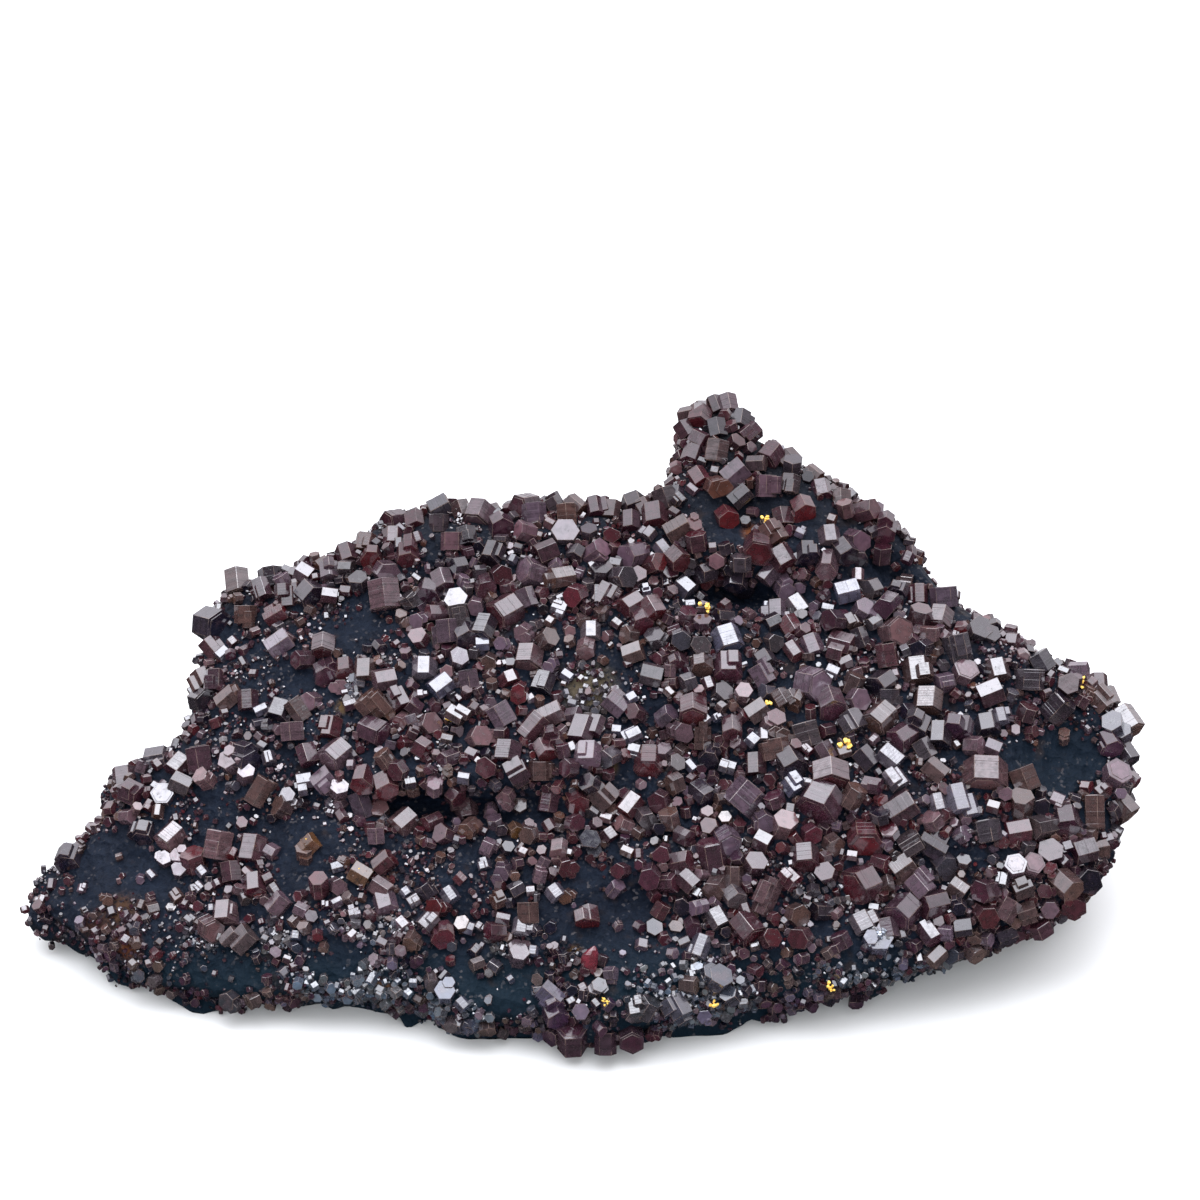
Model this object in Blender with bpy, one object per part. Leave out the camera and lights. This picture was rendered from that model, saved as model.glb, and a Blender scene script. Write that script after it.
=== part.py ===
"""A vanadinite specimen: squat six-sided crystals grown over a wedge of black manganese ore.

Run it with: blender --background --python part.py
"""

import math

import bmesh
import bpy
import numpy as np

# Lengths are in millimetres here and become metres when a mesh is made.
MM = 0.001

# The crystal-covered face leans back. It is shaped in its own frame, in which the first
# number runs right, the second up the slope and the third out of the face.
LEAN = math.radians(36.0)

# The rim of the rock, in four sides that meet at their ends, all running left to right or up.
RIM_LEFT = [
    (-87, -8, 25), (-85, -3, 21), (-82, 1, 19), (-78, 6, 17), (-77, 11, 15), (-72, 14, 15),
    (-66, 18, 15), (-63, 22, 13), (-64, 30, 9), (-63, 36, 5), (-61, 41, 3), (-59, 44, 2),
]
RIM_TOP = [
    (-59, 44, 2), (-50, 45, 3), (-40, 49, 4), (-33, 54, 2), (-25, 57, 3), (-16, 56, 6),
    (-9, 57, 6), (-1, 57, 7), (7, 56, 7), (13, 59, 7), (17, 63, 5), (17, 69, 3), (18, 73, 1),
    (24, 75, 0), (28, 69, 2), (35, 65, 4), (43, 59, 6), (51, 54, 7), (55, 49, 9), (59, 42, 12),
    (66, 37, 15), (75, 31, 17), (84, 27, 17),
]
RIM_BOTTOM = [
    (-87, -8, 25), (-84, -11, 25), (-78, -14, 28), (-72, -17, 30), (-66, -20, 32), (-54, -22, 34),
    (-41, -21, 35), (-31, -21, 36), (-25, -23, 36), (-20, -25, 38), (-7, -26, 38), (1, -28, 40),
    (10, -26, 39), (24, -23, 37), (37, -21, 36), (50, -17, 34), (62, -13, 31), (72, -10, 30),
    (80, -5, 28),
]
RIM_RIGHT = [(80, -5, 28), (84, 2, 26), (87, 10, 23), (88, 21, 19), (84, 27, 17)]

# Rises and hollows of the face: middle, half length, half width, turn in degrees, height.
SWELLS = [
    (-25, 51, 42, 6, 9, 3.5),
    (34, 61, 22, 8, -38, 4.0),
    (50, 14, 26, 16, -15, 4.0),
    (-30, 24, 16, 8, 20, 2.0),
    (30, 50, 12, 3, 0, 2.5),
    (36, -12, 16, 6, 10, 2.0),
    (-5, -21, 18, 5, 0, 2.0),
    (62, 38, 16, 3, -32, 2.0),
    (26, 42, 10, 3, -5, -7.0),
    (51, 45, 10, 3, -38, -5.5),
    (-21, 8, 17, 2.5, 0, -5.5),
    (-22, 14, 20, 4, 2, 2.5),
    (-71, -1, 13, 5, -10, -2.5),
    (74, 15, 9, 5, -10, -3.0),
    (-48, 25, 10, 5, 15, -2.0),
    (3, 21, 13, 5, -20, -2.0),
    (9, -8, 12, 5, 10, -2.5),
    (-44, -17, 14, 3, 0, -1.5),
    (-12, -17, 14, 4, 0, -1.5),
]
EDGE_DROP = 8.0
EDGE_DROP_FALL = 0.055
EDGE_ROUND = 7.0

# The back and under side: how far the foot stands in from the rim, and how far they belly out.
FOOT_INSET = 5.0
FOOT_INSET_RIGHT = 8.0
FOOT_OUT_BACK = 8.0
BELLY = 3.0
FOOT_MIDDLE = (22.0, -8.0)

# Broad lumps all over the rock: the way each wave runs, its length and its place along that way.
LUMP_WAVES = [
    ((0.8, 0.5, 0.3), 31.0, 0.4),
    ((-0.5, 0.8, 0.4), 24.0, 2.1),
    ((0.2, -0.4, 0.9), 19.0, 4.0),
    ((0.9, -0.3, -0.4), 15.0, 1.2),
    ((-0.4, -0.6, 0.7), 12.0, 5.3),
]
FACE_LUMP = 0.8
WALL_LUMP = 2.6

FACE_CELLS = (34, 17)
WALL_RINGS = 3

# Crystals are set out on a chart held square on before the face and seen from one point: squares
# across from its left and down from its top.
CHART_EYE = (2.6, 41.0, 427.0)
CHART_MIDDLE = 600
CHART_SPREAD = 2500

# Single large crystals: name, place on the chart (across, down), width, length, then the way the
# long axis points (turn on the face and rise out of it, in degrees) and the spin about it.
# A name given more than once is a cluster grown together, and makes one solid.
LARGE = [
    ("peak_1", 731, 400, 4.0, 3.4, -80, 25, 20),
    ("peak_2", 700, 422, 4.6, 3.6, -105, 45, 30),
    ("peak_3", 717, 452, 4.4, 3.8, -100, 5, 25),
    ("peak_4", 769, 457, 4.6, 3.8, -130, 35, 30),
    ("rim_1", 441, 503, 4.8, 3.6, 28, 0, 28),
    ("rim_2", 478, 518, 5.4, 3.8, -110, 35, 25),
    ("rim_3", 526, 502, 4.8, 3.6, 190, 40, 10),
    ("rim_3", 535, 517, 4.4, 3.8, -85, 5, 5),
    ("rim_4", 568, 519, 3.8, 4.2, -85, 5, 30),
    ("rim_5", 239, 580, 4.8, 4.4, -80, 25, 20),
    ("rim_6", 215, 627, 5.9, 4.8, -12, 45, 10),
    ("rim_7", 197, 702, 4.6, 3.8, -8, 60, 20),
    ("rim_8", 394, 522, 4.4, 3.6, 190, 40, 0),
    ("rim_9", 280, 645, 4.4, 4.2, 35, 0, 30),
    ("upper_1", 386, 597, 5.8, 5.0, -82, 12, 25),
    ("upper_2", 532, 574, 5.0, 3.8, 160, 37, 10),
    ("upper_3", 505, 613, 5.4, 4.4, -150, 30, 15),
    ("upper_3", 484, 629, 4.2, 3.8, -110, 35, 25),
    ("upper_4", 324, 649, 4.4, 3.4, -90, 40, 28),
    ("upper_5", 528, 660, 5.0, 3.6, -100, 35, 20),
    ("upper_6", 679, 531, 4.6, 4.2, 30, 5, 25),
    ("middle_1", 533, 727, 4.0, 4.6, -130, 5, 20),
    ("middle_1", 549, 717, 4.2, 4.6, 25, 5, 25),
    ("middle_2", 374, 734, 4.8, 4.2, -20, 30, 15),
    ("middle_3", 338, 756, 5.0, 4.0, -140, 35, 15),
    ("middle_4", 508, 753, 4.8, 3.2, -100, 20, 25),
    ("middle_5", 649, 764, 4.8, 4.0, -95, 50, 5),
    ("middle_6", 693, 711, 5.0, 3.6, -90, 45, 28),
    ("left_1", 218, 846, 5.0, 4.6, -100, 5, 20),
    ("left_2", 254, 850, 4.6, 4.2, -100, 20, 20),
    ("left_3", 172, 838, 4.6, 3.8, -135, 30, 20),
    ("left_4", 164, 797, 4.0, 3.0, 90, 63, 0),
    ("left_5", 211, 931, 4.2, 3.4, -20, 60, 10),
    ("foot_1", 572, 1036, 4.8, 4.6, 90, 40, 5),
    ("foot_2", 630, 1036, 4.3, 4.0, -80, 65, 0),
    ("front_1", 748, 930, 4.8, 4.2, -50, 35, 10),
    ("brow_1", 758, 549, 5.2, 4.4, -100, 60, 0),
    ("brow_2", 727, 640, 4.8, 3.8, -70, 26, -9),
    ("brow_3", 896, 633, 5.2, 3.6, 20, 65, 10),
    ("right_1", 819, 804, 7.6, 4.4, -126, 33, 28),
    ("right_1", 831, 777, 6.6, 3.6, -90, 38, 30),
    ("right_2", 865, 839, 5.7, 3.8, -90, 55, 0),
    ("right_3", 900, 808, 5.0, 4.6, 33, 8, 35),
    ("right_4", 861, 886, 6.2, 3.8, -161, 35, 20),
    ("right_5", 746, 798, 6.3, 4.6, -131, 3, 8),
    ("right_6", 985, 776, 7.4, 4.2, -95, 30, 5),
    ("right_7", 901, 867, 4.4, 3.6, 36, 0, 30),
    ("right_8", 903, 912, 5.0, 4.2, -140, 40, 10),
    ("right_9", 987, 832, 4.4, 3.6, -80, 10, 20),
    ("right_10", 1015, 868, 3.8, 3.4, 100, 60, 0),
    ("right_10", 1029, 867, 3.8, 3.4, 60, 60, 15),
    ("right_11", 711, 857, 4.9, 5.0, 100, 15, 5),
    ("right_11", 727, 842, 4.4, 3.4, -60, 60, 0),
    ("right_12", 805, 857, 4.4, 3.4, -90, 40, 10),
    ("right_13", 964, 674, 4.4, 3.0, 70, 50, 0),
    ("right_14", 940, 621, 4.4, 3.6, -110, 35, 28),
    ("right_15", 928, 703, 4.9, 3.8, -100, 30, 22),
    ("right_16", 881, 718, 4.8, 4.2, -140, 30, 20),
    ("end_1", 1127, 722, 5.0, 4.4, -60, 30, 0),
    ("end_2", 1112, 776, 4.8, 3.4, 60, 50, 0),
    ("end_3", 1056, 709, 5.0, 4.2, 50, 20, 28),
    ("end_4", 1028, 681, 5.0, 3.4, -92, 0, 0),
    ("end_5", 1093, 813, 3.6, 5.4, -90, 8, 25),
    ("right_17", 811, 686, 5.4, 4.0, -10, 50, 0),
    ("right_17", 829, 705, 5.0, 4.0, -75, 50, 20),
    ("right_18", 806, 737, 4.6, 4.0, -75, 5, 25),
]
LARGE_SUNK = 0.42
SOCKET_GAP = 0.35

# Crystals that are one with the rock: the same figures, without a name.
MIDDLE = [
    (737, 423, 4.0, 3.0, -100, 25, 25), (751, 433, 3.8, 3.2, -140, 20, 0),
    (734, 474, 4.4, 4.0, 40, 5, 30), (740, 497, 3.8, 3.6, 40, 0, 30), (727, 519, 3.8, 3.0, -60, 60, 10),
    (664, 503, 4.4, 3.6, -70, 5, 25), (656, 518, 4.4, 3.8, -85, 35, 10),
    (802, 511, 4.0, 3.2, -70, 50, 20), (783, 557, 4.0, 3.4, -60, 25, 0), (452, 543, 3.8, 3.0, -90, 5, 0),
    (501, 529, 4.4, 3.2, -60, 60, 0), (595, 507, 3.8, 3.2, -80, 30, 10), (631, 499, 4.6, 3.6, -70, 55, 0),
    (631, 524, 3.8, 3.2, -90, 30, 20), (567, 536, 4.6, 3.0, 90, 63, 0), (272, 570, 4.6, 3.4, -80, 10, 0),
    (409, 557, 4.0, 3.2, -85, 45, 10), (388, 573, 4.4, 3.0, -30, 60, 0), (247, 616, 4.0, 3.0, -90, 0, 0),
    (312, 595, 4.6, 3.4, -40, 45, 0), (218, 680, 3.8, 3.2, -90, 10, 10), (230, 699, 4.0, 3.6, 40, 10, 20),
    (326, 674, 4.2, 3.2, -60, 60, 0), (349, 557, 3.8, 3.2, -70, 30, 0),
    (280, 713, 3.8, 3.2, -110, 35, 10), (293, 734, 4.2, 3.0, -85, 5, 25),
    (386, 680, 3.8, 3.4, -170, 20, 20), (373, 708, 4.4, 4.0, 130, 10, 20),
    (400, 701, 3.8, 3.2, -60, 20, 30), (425, 670, 4.2, 3.0, -90, 27, 0), (430, 725, 3.8, 3.0, 30, 60, 10),
    (443, 582, 3.8, 3.2, -70, 30, 20), (430, 593, 4.0, 3.2, -100, 55, 0),
    (457, 604, 4.0, 3.2, 90, 63, 10), (449, 633, 4.2, 3.8, -85, 5, 25), (464, 637, 4.0, 3.2, -60, 50, 0),
    (491, 556, 3.8, 3.2, -110, 35, 20), (441, 686, 4.0, 3.4, -143, 17, 21),
    (470, 681, 3.8, 3.0, -80, 5, 25), (501, 717, 4.4, 3.6, -60, 0, 25), (479, 739, 3.8, 3.0, 30, 60, 0),
    (543, 686, 4.0, 3.4, -110, 30, 20), (519, 772, 3.8, 3.2, 30, 5, 25),
    (582, 735, 4.6, 4.2, -110, 30, 30), (586, 758, 4.4, 3.6, -95, 40, 10),
    (364, 778, 4.0, 3.4, -100, 50, 20), (386, 783, 4.0, 3.2, -70, 45, 10),
    (404, 825, 4.2, 3.6, -140, 30, 15), (247, 763, 4.2, 3.4, -10, 45, 0), (325, 780, 3.8, 3.4, 40, 0, 10),
    (202, 762, 4.4, 4.2, -80, 5, 28), (179, 767, 3.8, 3.2, -130, 30, 20),
    (157, 758, 3.8, 3.4, 10, 10, 10), (119, 766, 3.8, 3.2, -80, 20, 0), (233, 764, 3.8, 3.0, 120, 50, 0),
    (182, 785, 3.8, 3.2, -25, 5, 20), (136, 795, 4.4, 3.6, -20, 30, 20),
    (196, 861, 4.0, 3.2, 100, 30, 20), (72, 861, 4.4, 3.4, -100, 50, 0),
    (225, 914, 3.8, 3.2, -90, 35, 10), (243, 940, 4.2, 3.6, 45, 5, 20), (361, 876, 3.8, 3.2, -30, 5, 20),
    (385, 906, 3.8, 3.2, -70, 40, 0), (600, 797, 4.2, 3.6, -45, 0, 20), (576, 800, 3.8, 3.0, -60, 55, 0),
    (631, 606, 3.8, 3.4, -150, 30, 20), (653, 611, 4.2, 3.4, -60, 30, 20),
    (640, 622, 3.8, 3.2, -70, 50, 0), (634, 656, 3.8, 3.2, 20, 10, 20), (616, 704, 3.8, 3.6, -40, 0, 28),
    (731, 730, 3.8, 3.2, -90, 45, 30), (727, 668, 4.8, 3.8, -90, 40, 0), (785, 828, 4.0, 3.6, 75, 48, 0),
    (910, 842, 3.9, 3.6, 32, 3, 5), (931, 905, 4.4, 4.0, -170, 25, 20), (919, 887, 4.2, 3.6, -50, 20, 10),
    (958, 801, 4.2, 4.4, -77, 26, -6), (1021, 782, 4.7, 3.8, -69, 5, 28),
    (1004, 909, 4.0, 3.6, -120, 5, 10), (990, 694, 4.6, 3.8, 22, 0, 28), (955, 651, 4.4, 4.4, -78, 0, 5),
    (881, 687, 4.4, 3.6, -150, 40, 10), (918, 673, 4.5, 4.0, -85, 25, 5), (941, 600, 4.6, 3.4, -85, 0, 5),
    (891, 758, 4.2, 3.6, -40, 18, -20), (901, 738, 4.4, 3.6, -150, 30, 15),
    (978, 633, 4.0, 3.0, 60, 60, 10), (998, 672, 3.8, 3.2, -80, 30, 0), (852, 722, 3.8, 3.4, -60, 20, 20),
    (917, 729, 4.2, 3.6, -120, 45, 0), (937, 738, 4.4, 3.8, -100, 35, 20),
    (959, 731, 4.4, 3.4, -110, 45, 20), (987, 727, 4.0, 3.2, -85, 40, 10),
    (934, 771, 3.8, 3.6, -40, 10, 20), (1111, 727, 4.0, 3.4, 120, 50, 0),
    (1065, 822, 4.4, 3.6, -90, 50, 10), (1119, 806, 4.4, 4.0, -50, 20, 15),
    (1038, 665, 4.2, 3.2, -60, 0, 20), (1108, 744, 3.8, 3.2, -70, 50, 0),
    (1124, 755, 3.8, 3.2, -60, 30, 20), (840, 647, 4.4, 3.8, -15, 20, 10),
    (812, 647, 3.8, 3.2, -70, 20, 0), (845, 592, 4.2, 3.8, -166, 7, 26), (762, 677, 3.8, 3.4, -60, 5, 25),
    (758, 713, 3.8, 3.4, 35, 5, 20), (778, 750, 4.0, 3.2, -80, 5, 10), (790, 766, 5.0, 3.8, -60, 50, 0),
    (877, 941, 4.4, 3.0, 90, 63, 0), (677, 1007, 4.0, 3.6, -60, 20, 20), (718, 978, 4.0, 3.0, 60, 50, 0),
    (529, 914, 3.8, 3.2, -88, 5, 25), (442, 934, 3.8, 3.0, -80, 60, 0), (555, 1014, 3.8, 3.0, -60, 50, 0),
]
MIDDLE_SUNK = 0.38

ORE_COLOUR = (0.022, 0.024, 0.030, 1.0)
ORE_ROUGHNESS = 0.75
CRYSTAL_COLOUR = (0.13, 0.028, 0.030, 1.0)
CRYSTAL_ROUGHNESS = 0.22


def clear_scene():
    for item in list(bpy.data.objects):
        bpy.data.objects.remove(item)


def make_material(name, colour, roughness):
    material = bpy.data.materials.new(name)
    material.use_nodes = True
    shader = material.node_tree.nodes["Principled BSDF"]
    shader.inputs["Base Color"].default_value = colour
    shader.inputs["Roughness"].default_value = roughness
    shader.inputs["Metallic"].default_value = 0.0
    return material


def object_from(name, points, faces, material=None):
    """An object from points in millimetres and lists of corner numbers."""
    mesh = bpy.data.meshes.new(name)
    mesh.from_pydata((np.asarray(points) * MM).tolist(), [], [list(face) for face in faces])
    mesh.update()
    item = bpy.data.objects.new(name, mesh)
    bpy.context.scene.collection.objects.link(item)
    if material is not None:
        mesh.materials.append(material)
    return item


def upright(points):
    """Points of the leaning frame as level ones: x right, y back, z up."""
    right, up, out = np.moveaxis(np.asarray(points, float), -1, 0)
    back = up * math.sin(LEAN) - out * math.cos(LEAN)
    high = up * math.cos(LEAN) + out * math.sin(LEAN)
    return np.stack([right, back, high], axis=-1)


def along(side, share):
    """Points of a side at shares of its length."""
    side = np.asarray(side, float)
    steps = np.linalg.norm(np.diff(side, axis=0), axis=1)
    length = np.concatenate([[0.0], np.cumsum(steps)]) / steps.sum()
    return np.stack([np.interp(share, length, side[:, k]) for k in range(3)], axis=-1)


def lumps(points):
    """A gentle lumpiness between about -1 and 1, as a sum of waves through space."""
    total = np.zeros(points.shape[:-1])
    for way, length, place in LUMP_WAVES:
        way = np.array(way) / np.linalg.norm(way)
        total += np.sin(2 * math.pi * (points @ way) / length + place)
    return total / 2.5


def swell(right, up):
    """The rises and hollows, each a smooth bump."""
    total = np.zeros_like(right)
    for middle, height_at, long, wide, turn, rise in SWELLS:
        angle = math.radians(turn)
        x = (right - middle) * math.cos(angle) + (up - height_at) * math.sin(angle)
        y = (up - height_at) * math.cos(angle) - (right - middle) * math.sin(angle)
        total += rise * np.exp(-((x / long) ** 2) - (y / wide) ** 2)
    return total


def face_points(across, rise):
    """The leaning face at shares across and up it: a patch between its four sides, plus its relief."""
    left, right = along(RIM_LEFT, rise), along(RIM_RIGHT, rise)
    bottom, top = along(RIM_BOTTOM, across), along(RIM_TOP, across)
    a, b = across[..., None], rise[..., None]
    corners = (
        (1 - a) * (1 - b) * np.array(RIM_LEFT[0]) + a * (1 - b) * np.array(RIM_RIGHT[0])
        + (1 - a) * b * np.array(RIM_LEFT[-1]) + a * b * np.array(RIM_RIGHT[-1])
    )
    points = (1 - a) * left + a * right + (1 - b) * bottom + b * top - corners
    inside = (1 - np.abs(2 * across - 1) ** (2 * EDGE_ROUND)) * (1 - np.abs(2 * rise - 1) ** EDGE_ROUND)
    drop = EDGE_DROP - EDGE_DROP_FALL * points[..., 1]
    relief = swell(points[..., 0], points[..., 1]) + FACE_LUMP * lumps(points)
    points[..., 2] += drop * np.sqrt(inside) + relief * inside
    return points


def closer_at_ends(count):
    """Shares from 0 to 1, packed closer towards both ends."""
    share = np.linspace(0.0, 1.0, count + 1)
    return share - 0.55 * np.sin(2 * math.pi * share) / (2 * math.pi)


def rock_mesh():
    """Points and faces of the whole rock: the leaning face, the wall round it and the flat foot."""
    columns, rows = FACE_CELLS
    across, rise = np.meshgrid(closer_at_ends(columns), closer_at_ends(rows), indexing="ij")
    face = upright(face_points(across, rise)).reshape(-1, 3)
    index = np.arange(len(face)).reshape(columns + 1, rows + 1)
    quads = np.stack([index[:-1, :-1], index[1:, :-1], index[1:, 1:], index[:-1, 1:]], axis=-1)
    loop = np.concatenate([index[:-1, 0], index[-1, :-1], index[:0:-1, -1], index[0, :0:-1]])
    rim = face[loop]
    points, faces = [face], [quads.reshape(-1, 4)]
    ring = loop
    start = len(face)
    for step in range(1, WALL_RINGS + 1):
        points.append(wall_ring(rim, step / WALL_RINGS))
        below = start + np.arange(len(loop))
        wall = np.stack([ring, below, np.roll(below, -1), np.roll(ring, -1)], axis=-1)
        faces.append(wall)
        ring = below
        start += len(loop)
    points.append(np.array([[*FOOT_MIDDLE, 0.0]]))
    foot = np.stack([ring, np.full(len(ring), start), np.roll(ring, -1)], axis=-1)
    return np.concatenate(points), [*np.concatenate(faces).tolist(), *foot.tolist()]


def wall_ring(rim, share):
    """One ring of the wall between the rim and the foot, bellied out and lumpy."""
    away = rim[:, :2] - np.array(FOOT_MIDDLE)
    away /= np.linalg.norm(away, axis=1)[:, None]
    inset = FOOT_INSET + FOOT_INSET_RIGHT * np.clip(away[:, 0], 0, 1) - FOOT_OUT_BACK * np.clip(away[:, 1], 0, 1)
    tall = np.clip(rim[:, 2] / 20.0, 0.0, 1.0)
    ring = rim.copy()
    ring[:, 2] = rim[:, 2] * (1 - share)
    lumpy = WALL_LUMP * lumps(ring) * math.sin(math.pi * share)
    out = (BELLY * math.sin(math.pi * share) + lumpy) * tall - inset * share
    ring[:, :2] += away * out[:, None]
    return ring


def surface_samples():
    """Places on the face on a fine grid, with the way out of the face at each, in its own frame."""
    across, rise = np.meshgrid(np.linspace(0.004, 0.996, 480), np.linspace(0.01, 0.99, 240), indexing="ij")
    spot = face_points(across, rise)
    out = np.cross(np.gradient(spot, axis=0), np.gradient(spot, axis=1))
    out /= np.linalg.norm(out, axis=-1)[..., None]
    return spot.reshape(-1, 3), out.reshape(-1, 3)


def on_chart(spots):
    """Squares across and down the chart at which points of the leaning frame are seen."""
    spread = CHART_SPREAD / (CHART_EYE[2] - spots[..., 2])
    across = CHART_MIDDLE + spread * (spots[..., 0] - CHART_EYE[0])
    down = CHART_MIDDLE - spread * (spots[..., 1] - CHART_EYE[1])
    return across, down


def nearest(samples, across, down):
    """The place on the face seen nearest to a place on the chart, and the way out of the face there."""
    spots, outs = samples
    seen_across, seen_down = on_chart(spots)
    k = np.argmin((seen_across - across) ** 2 + (seen_down - down) ** 2)
    return spots[k], outs[k]


def prism(middle, axis, spin, width, length):
    """Corners and faces of a six-sided prism about its middle, in the leaning frame."""
    side = np.cross(axis, (0.0, 0.0, 1.0) if abs(axis[2]) < 0.9 else (1.0, 0.0, 0.0))
    side /= np.linalg.norm(side)
    other = np.cross(axis, side)
    angles = spin + np.arange(6) * math.pi / 3
    ring = (np.cos(angles)[:, None] * side + np.sin(angles)[:, None] * other) * width / 2
    corners = np.concatenate([middle + ring - axis * length / 2, middle + ring + axis * length / 2])
    sides = [[k, (k + 1) % 6, (k + 1) % 6 + 6, k + 6] for k in range(6)]
    return corners, [*sides, [5, 4, 3, 2, 1, 0], [6, 7, 8, 9, 10, 11]]


def frame_at(samples, figures, sunk):
    """A crystal's middle, axis, spin, width and length, in the leaning frame."""
    across, down, width, length, turn, rise, spin = figures
    spot, out = nearest(samples, across, down)
    turn, rise = math.radians(turn), math.radians(rise)
    axis = np.array([math.cos(rise) * math.cos(turn), math.cos(rise) * math.sin(turn), math.sin(rise)])
    lean = abs(float(axis @ out))
    reach = 0.5 * (length * lean + width * math.sqrt(1 - lean * lean))
    middle = spot + out * reach * (1 - 2 * sunk)
    return middle, axis, math.radians(spin), width, length


def large_frames(samples):
    """The frames of each large crystal or cluster, by name."""
    frames = {}
    for name, *figures in LARGE:
        frames.setdefault(name, []).append(frame_at(samples, figures, LARGE_SUNK))
    return frames


def joined_prisms(name, frames, grow=0.0):
    """Many prisms as one object, each grown by the same amount on every side."""
    points, faces = [], []
    for middle, axis, spin, width, length in frames:
        corners, sides = prism(middle, axis, spin, width + 2.31 * grow, length + 2 * grow)
        start = 12 * len(points)
        points.append(upright(corners))
        faces.extend([[start + k for k in side] for side in sides])
    return object_from(name, np.concatenate(points), faces)


def combine(item, other, operation):
    """Adds a Boolean and takes its result as the object's mesh."""
    modifier = item.modifiers.new(operation.title(), "BOOLEAN")
    modifier.operation = operation
    modifier.solver = "EXACT"
    modifier.use_self = True
    modifier.object = other
    bpy.context.view_layer.objects.active = item
    bpy.ops.object.modifier_apply(modifier=modifier.name)
    bpy.data.objects.remove(other)


def build_ore(material, samples, large):
    points, faces = rock_mesh()
    ore = object_from("ore_matrix", points, faces, material)
    shape = bmesh.new()
    shape.from_mesh(ore.data)
    bmesh.ops.triangulate(shape, faces=shape.faces)
    bmesh.ops.recalc_face_normals(shape, faces=shape.faces)
    shape.to_mesh(ore.data)
    shape.free()
    grown_on = [frame_at(samples, figures, MIDDLE_SUNK) for figures in MIDDLE]
    single = [frame for cluster in large.values() for frame in cluster]
    combine(ore, joined_prisms("middle_crystals", grown_on), "UNION")
    combine(ore, joined_prisms("sockets", single, SOCKET_GAP), "DIFFERENCE")


def build_large(material, large):
    """Each large crystal or cluster as its own object, with its origin at its first middle."""
    for name, cluster in large.items():
        home = cluster[0][0]
        crystal = None
        for middle, axis, spin, width, length in cluster:
            corners, faces = prism(middle - home, axis, spin, width, length)
            if crystal is None:
                crystal = object_from("crystal_" + name, upright(corners), faces, material)
            else:
                combine(crystal, object_from("twin", upright(corners), faces), "UNION")
        crystal.location = upright(home) * MM


def main():
    clear_scene()
    ore_stone = make_material("manganese_ore", ORE_COLOUR, ORE_ROUGHNESS)
    vanadinite = make_material("vanadinite", CRYSTAL_COLOUR, CRYSTAL_ROUGHNESS)
    samples = surface_samples()
    large = large_frames(samples)
    build_ore(ore_stone, samples, large)
    build_large(vanadinite, large)


main()
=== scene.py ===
"""A vanadinite specimen, dressed: fine rock, thousands of grown crystals, their finishes and the light."""
import math
from collections import namedtuple

import bpy
import numpy as np
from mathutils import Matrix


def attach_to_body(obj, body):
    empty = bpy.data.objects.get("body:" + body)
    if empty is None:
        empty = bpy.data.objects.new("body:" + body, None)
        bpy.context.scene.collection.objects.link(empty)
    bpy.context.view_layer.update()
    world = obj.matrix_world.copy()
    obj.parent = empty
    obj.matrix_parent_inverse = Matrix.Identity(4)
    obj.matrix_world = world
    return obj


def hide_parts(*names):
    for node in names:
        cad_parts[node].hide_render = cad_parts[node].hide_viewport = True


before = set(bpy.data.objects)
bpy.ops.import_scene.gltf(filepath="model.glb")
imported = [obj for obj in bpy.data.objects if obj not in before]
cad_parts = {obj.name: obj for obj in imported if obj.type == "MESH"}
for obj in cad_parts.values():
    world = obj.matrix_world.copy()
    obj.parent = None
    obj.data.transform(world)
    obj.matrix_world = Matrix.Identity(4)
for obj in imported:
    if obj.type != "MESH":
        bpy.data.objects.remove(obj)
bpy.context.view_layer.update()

# Lengths are in millimetres here and become metres when a mesh is made.
MM = 0.001
SEED = 25

# The crystal-covered face leans back. It is shaped in its own frame, in which the first
# number runs right, the second up the slope and the third out of the face.
LEAN = math.radians(36.0)
OUT_OF_FACE = np.array([0.0, 0.0, 1.0])

# The rim of the rock, in four sides that meet at their ends, all running left to right or up.
RIM_LEFT = [
    (-87, -8, 25), (-85, -3, 21), (-82, 1, 19), (-78, 6, 17), (-77, 11, 15), (-72, 14, 15),
    (-66, 18, 15), (-63, 22, 13), (-64, 30, 9), (-63, 36, 5), (-61, 41, 3), (-59, 44, 2),
]
RIM_TOP = [
    (-59, 44, 2), (-50, 45, 3), (-40, 49, 4), (-33, 54, 2), (-25, 57, 3), (-16, 56, 6),
    (-9, 57, 6), (-1, 57, 7), (7, 56, 7), (13, 59, 7), (17, 63, 5), (17, 69, 3), (18, 73, 1),
    (24, 75, 0), (28, 69, 2), (35, 65, 4), (43, 59, 6), (51, 54, 7), (55, 49, 9), (59, 42, 12),
    (66, 37, 15), (75, 31, 17), (84, 27, 17),
]
RIM_BOTTOM = [
    (-87, -8, 25), (-84, -11, 25), (-78, -14, 28), (-72, -17, 30), (-66, -20, 32), (-54, -22, 34),
    (-41, -21, 35), (-31, -21, 36), (-25, -23, 36), (-20, -25, 38), (-7, -26, 38), (1, -28, 40),
    (10, -26, 39), (24, -23, 37), (37, -21, 36), (50, -17, 34), (62, -13, 31), (72, -10, 30),
    (80, -5, 28),
]
RIM_RIGHT = [(80, -5, 28), (84, 2, 26), (87, 10, 23), (88, 21, 19), (84, 27, 17)]

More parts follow.
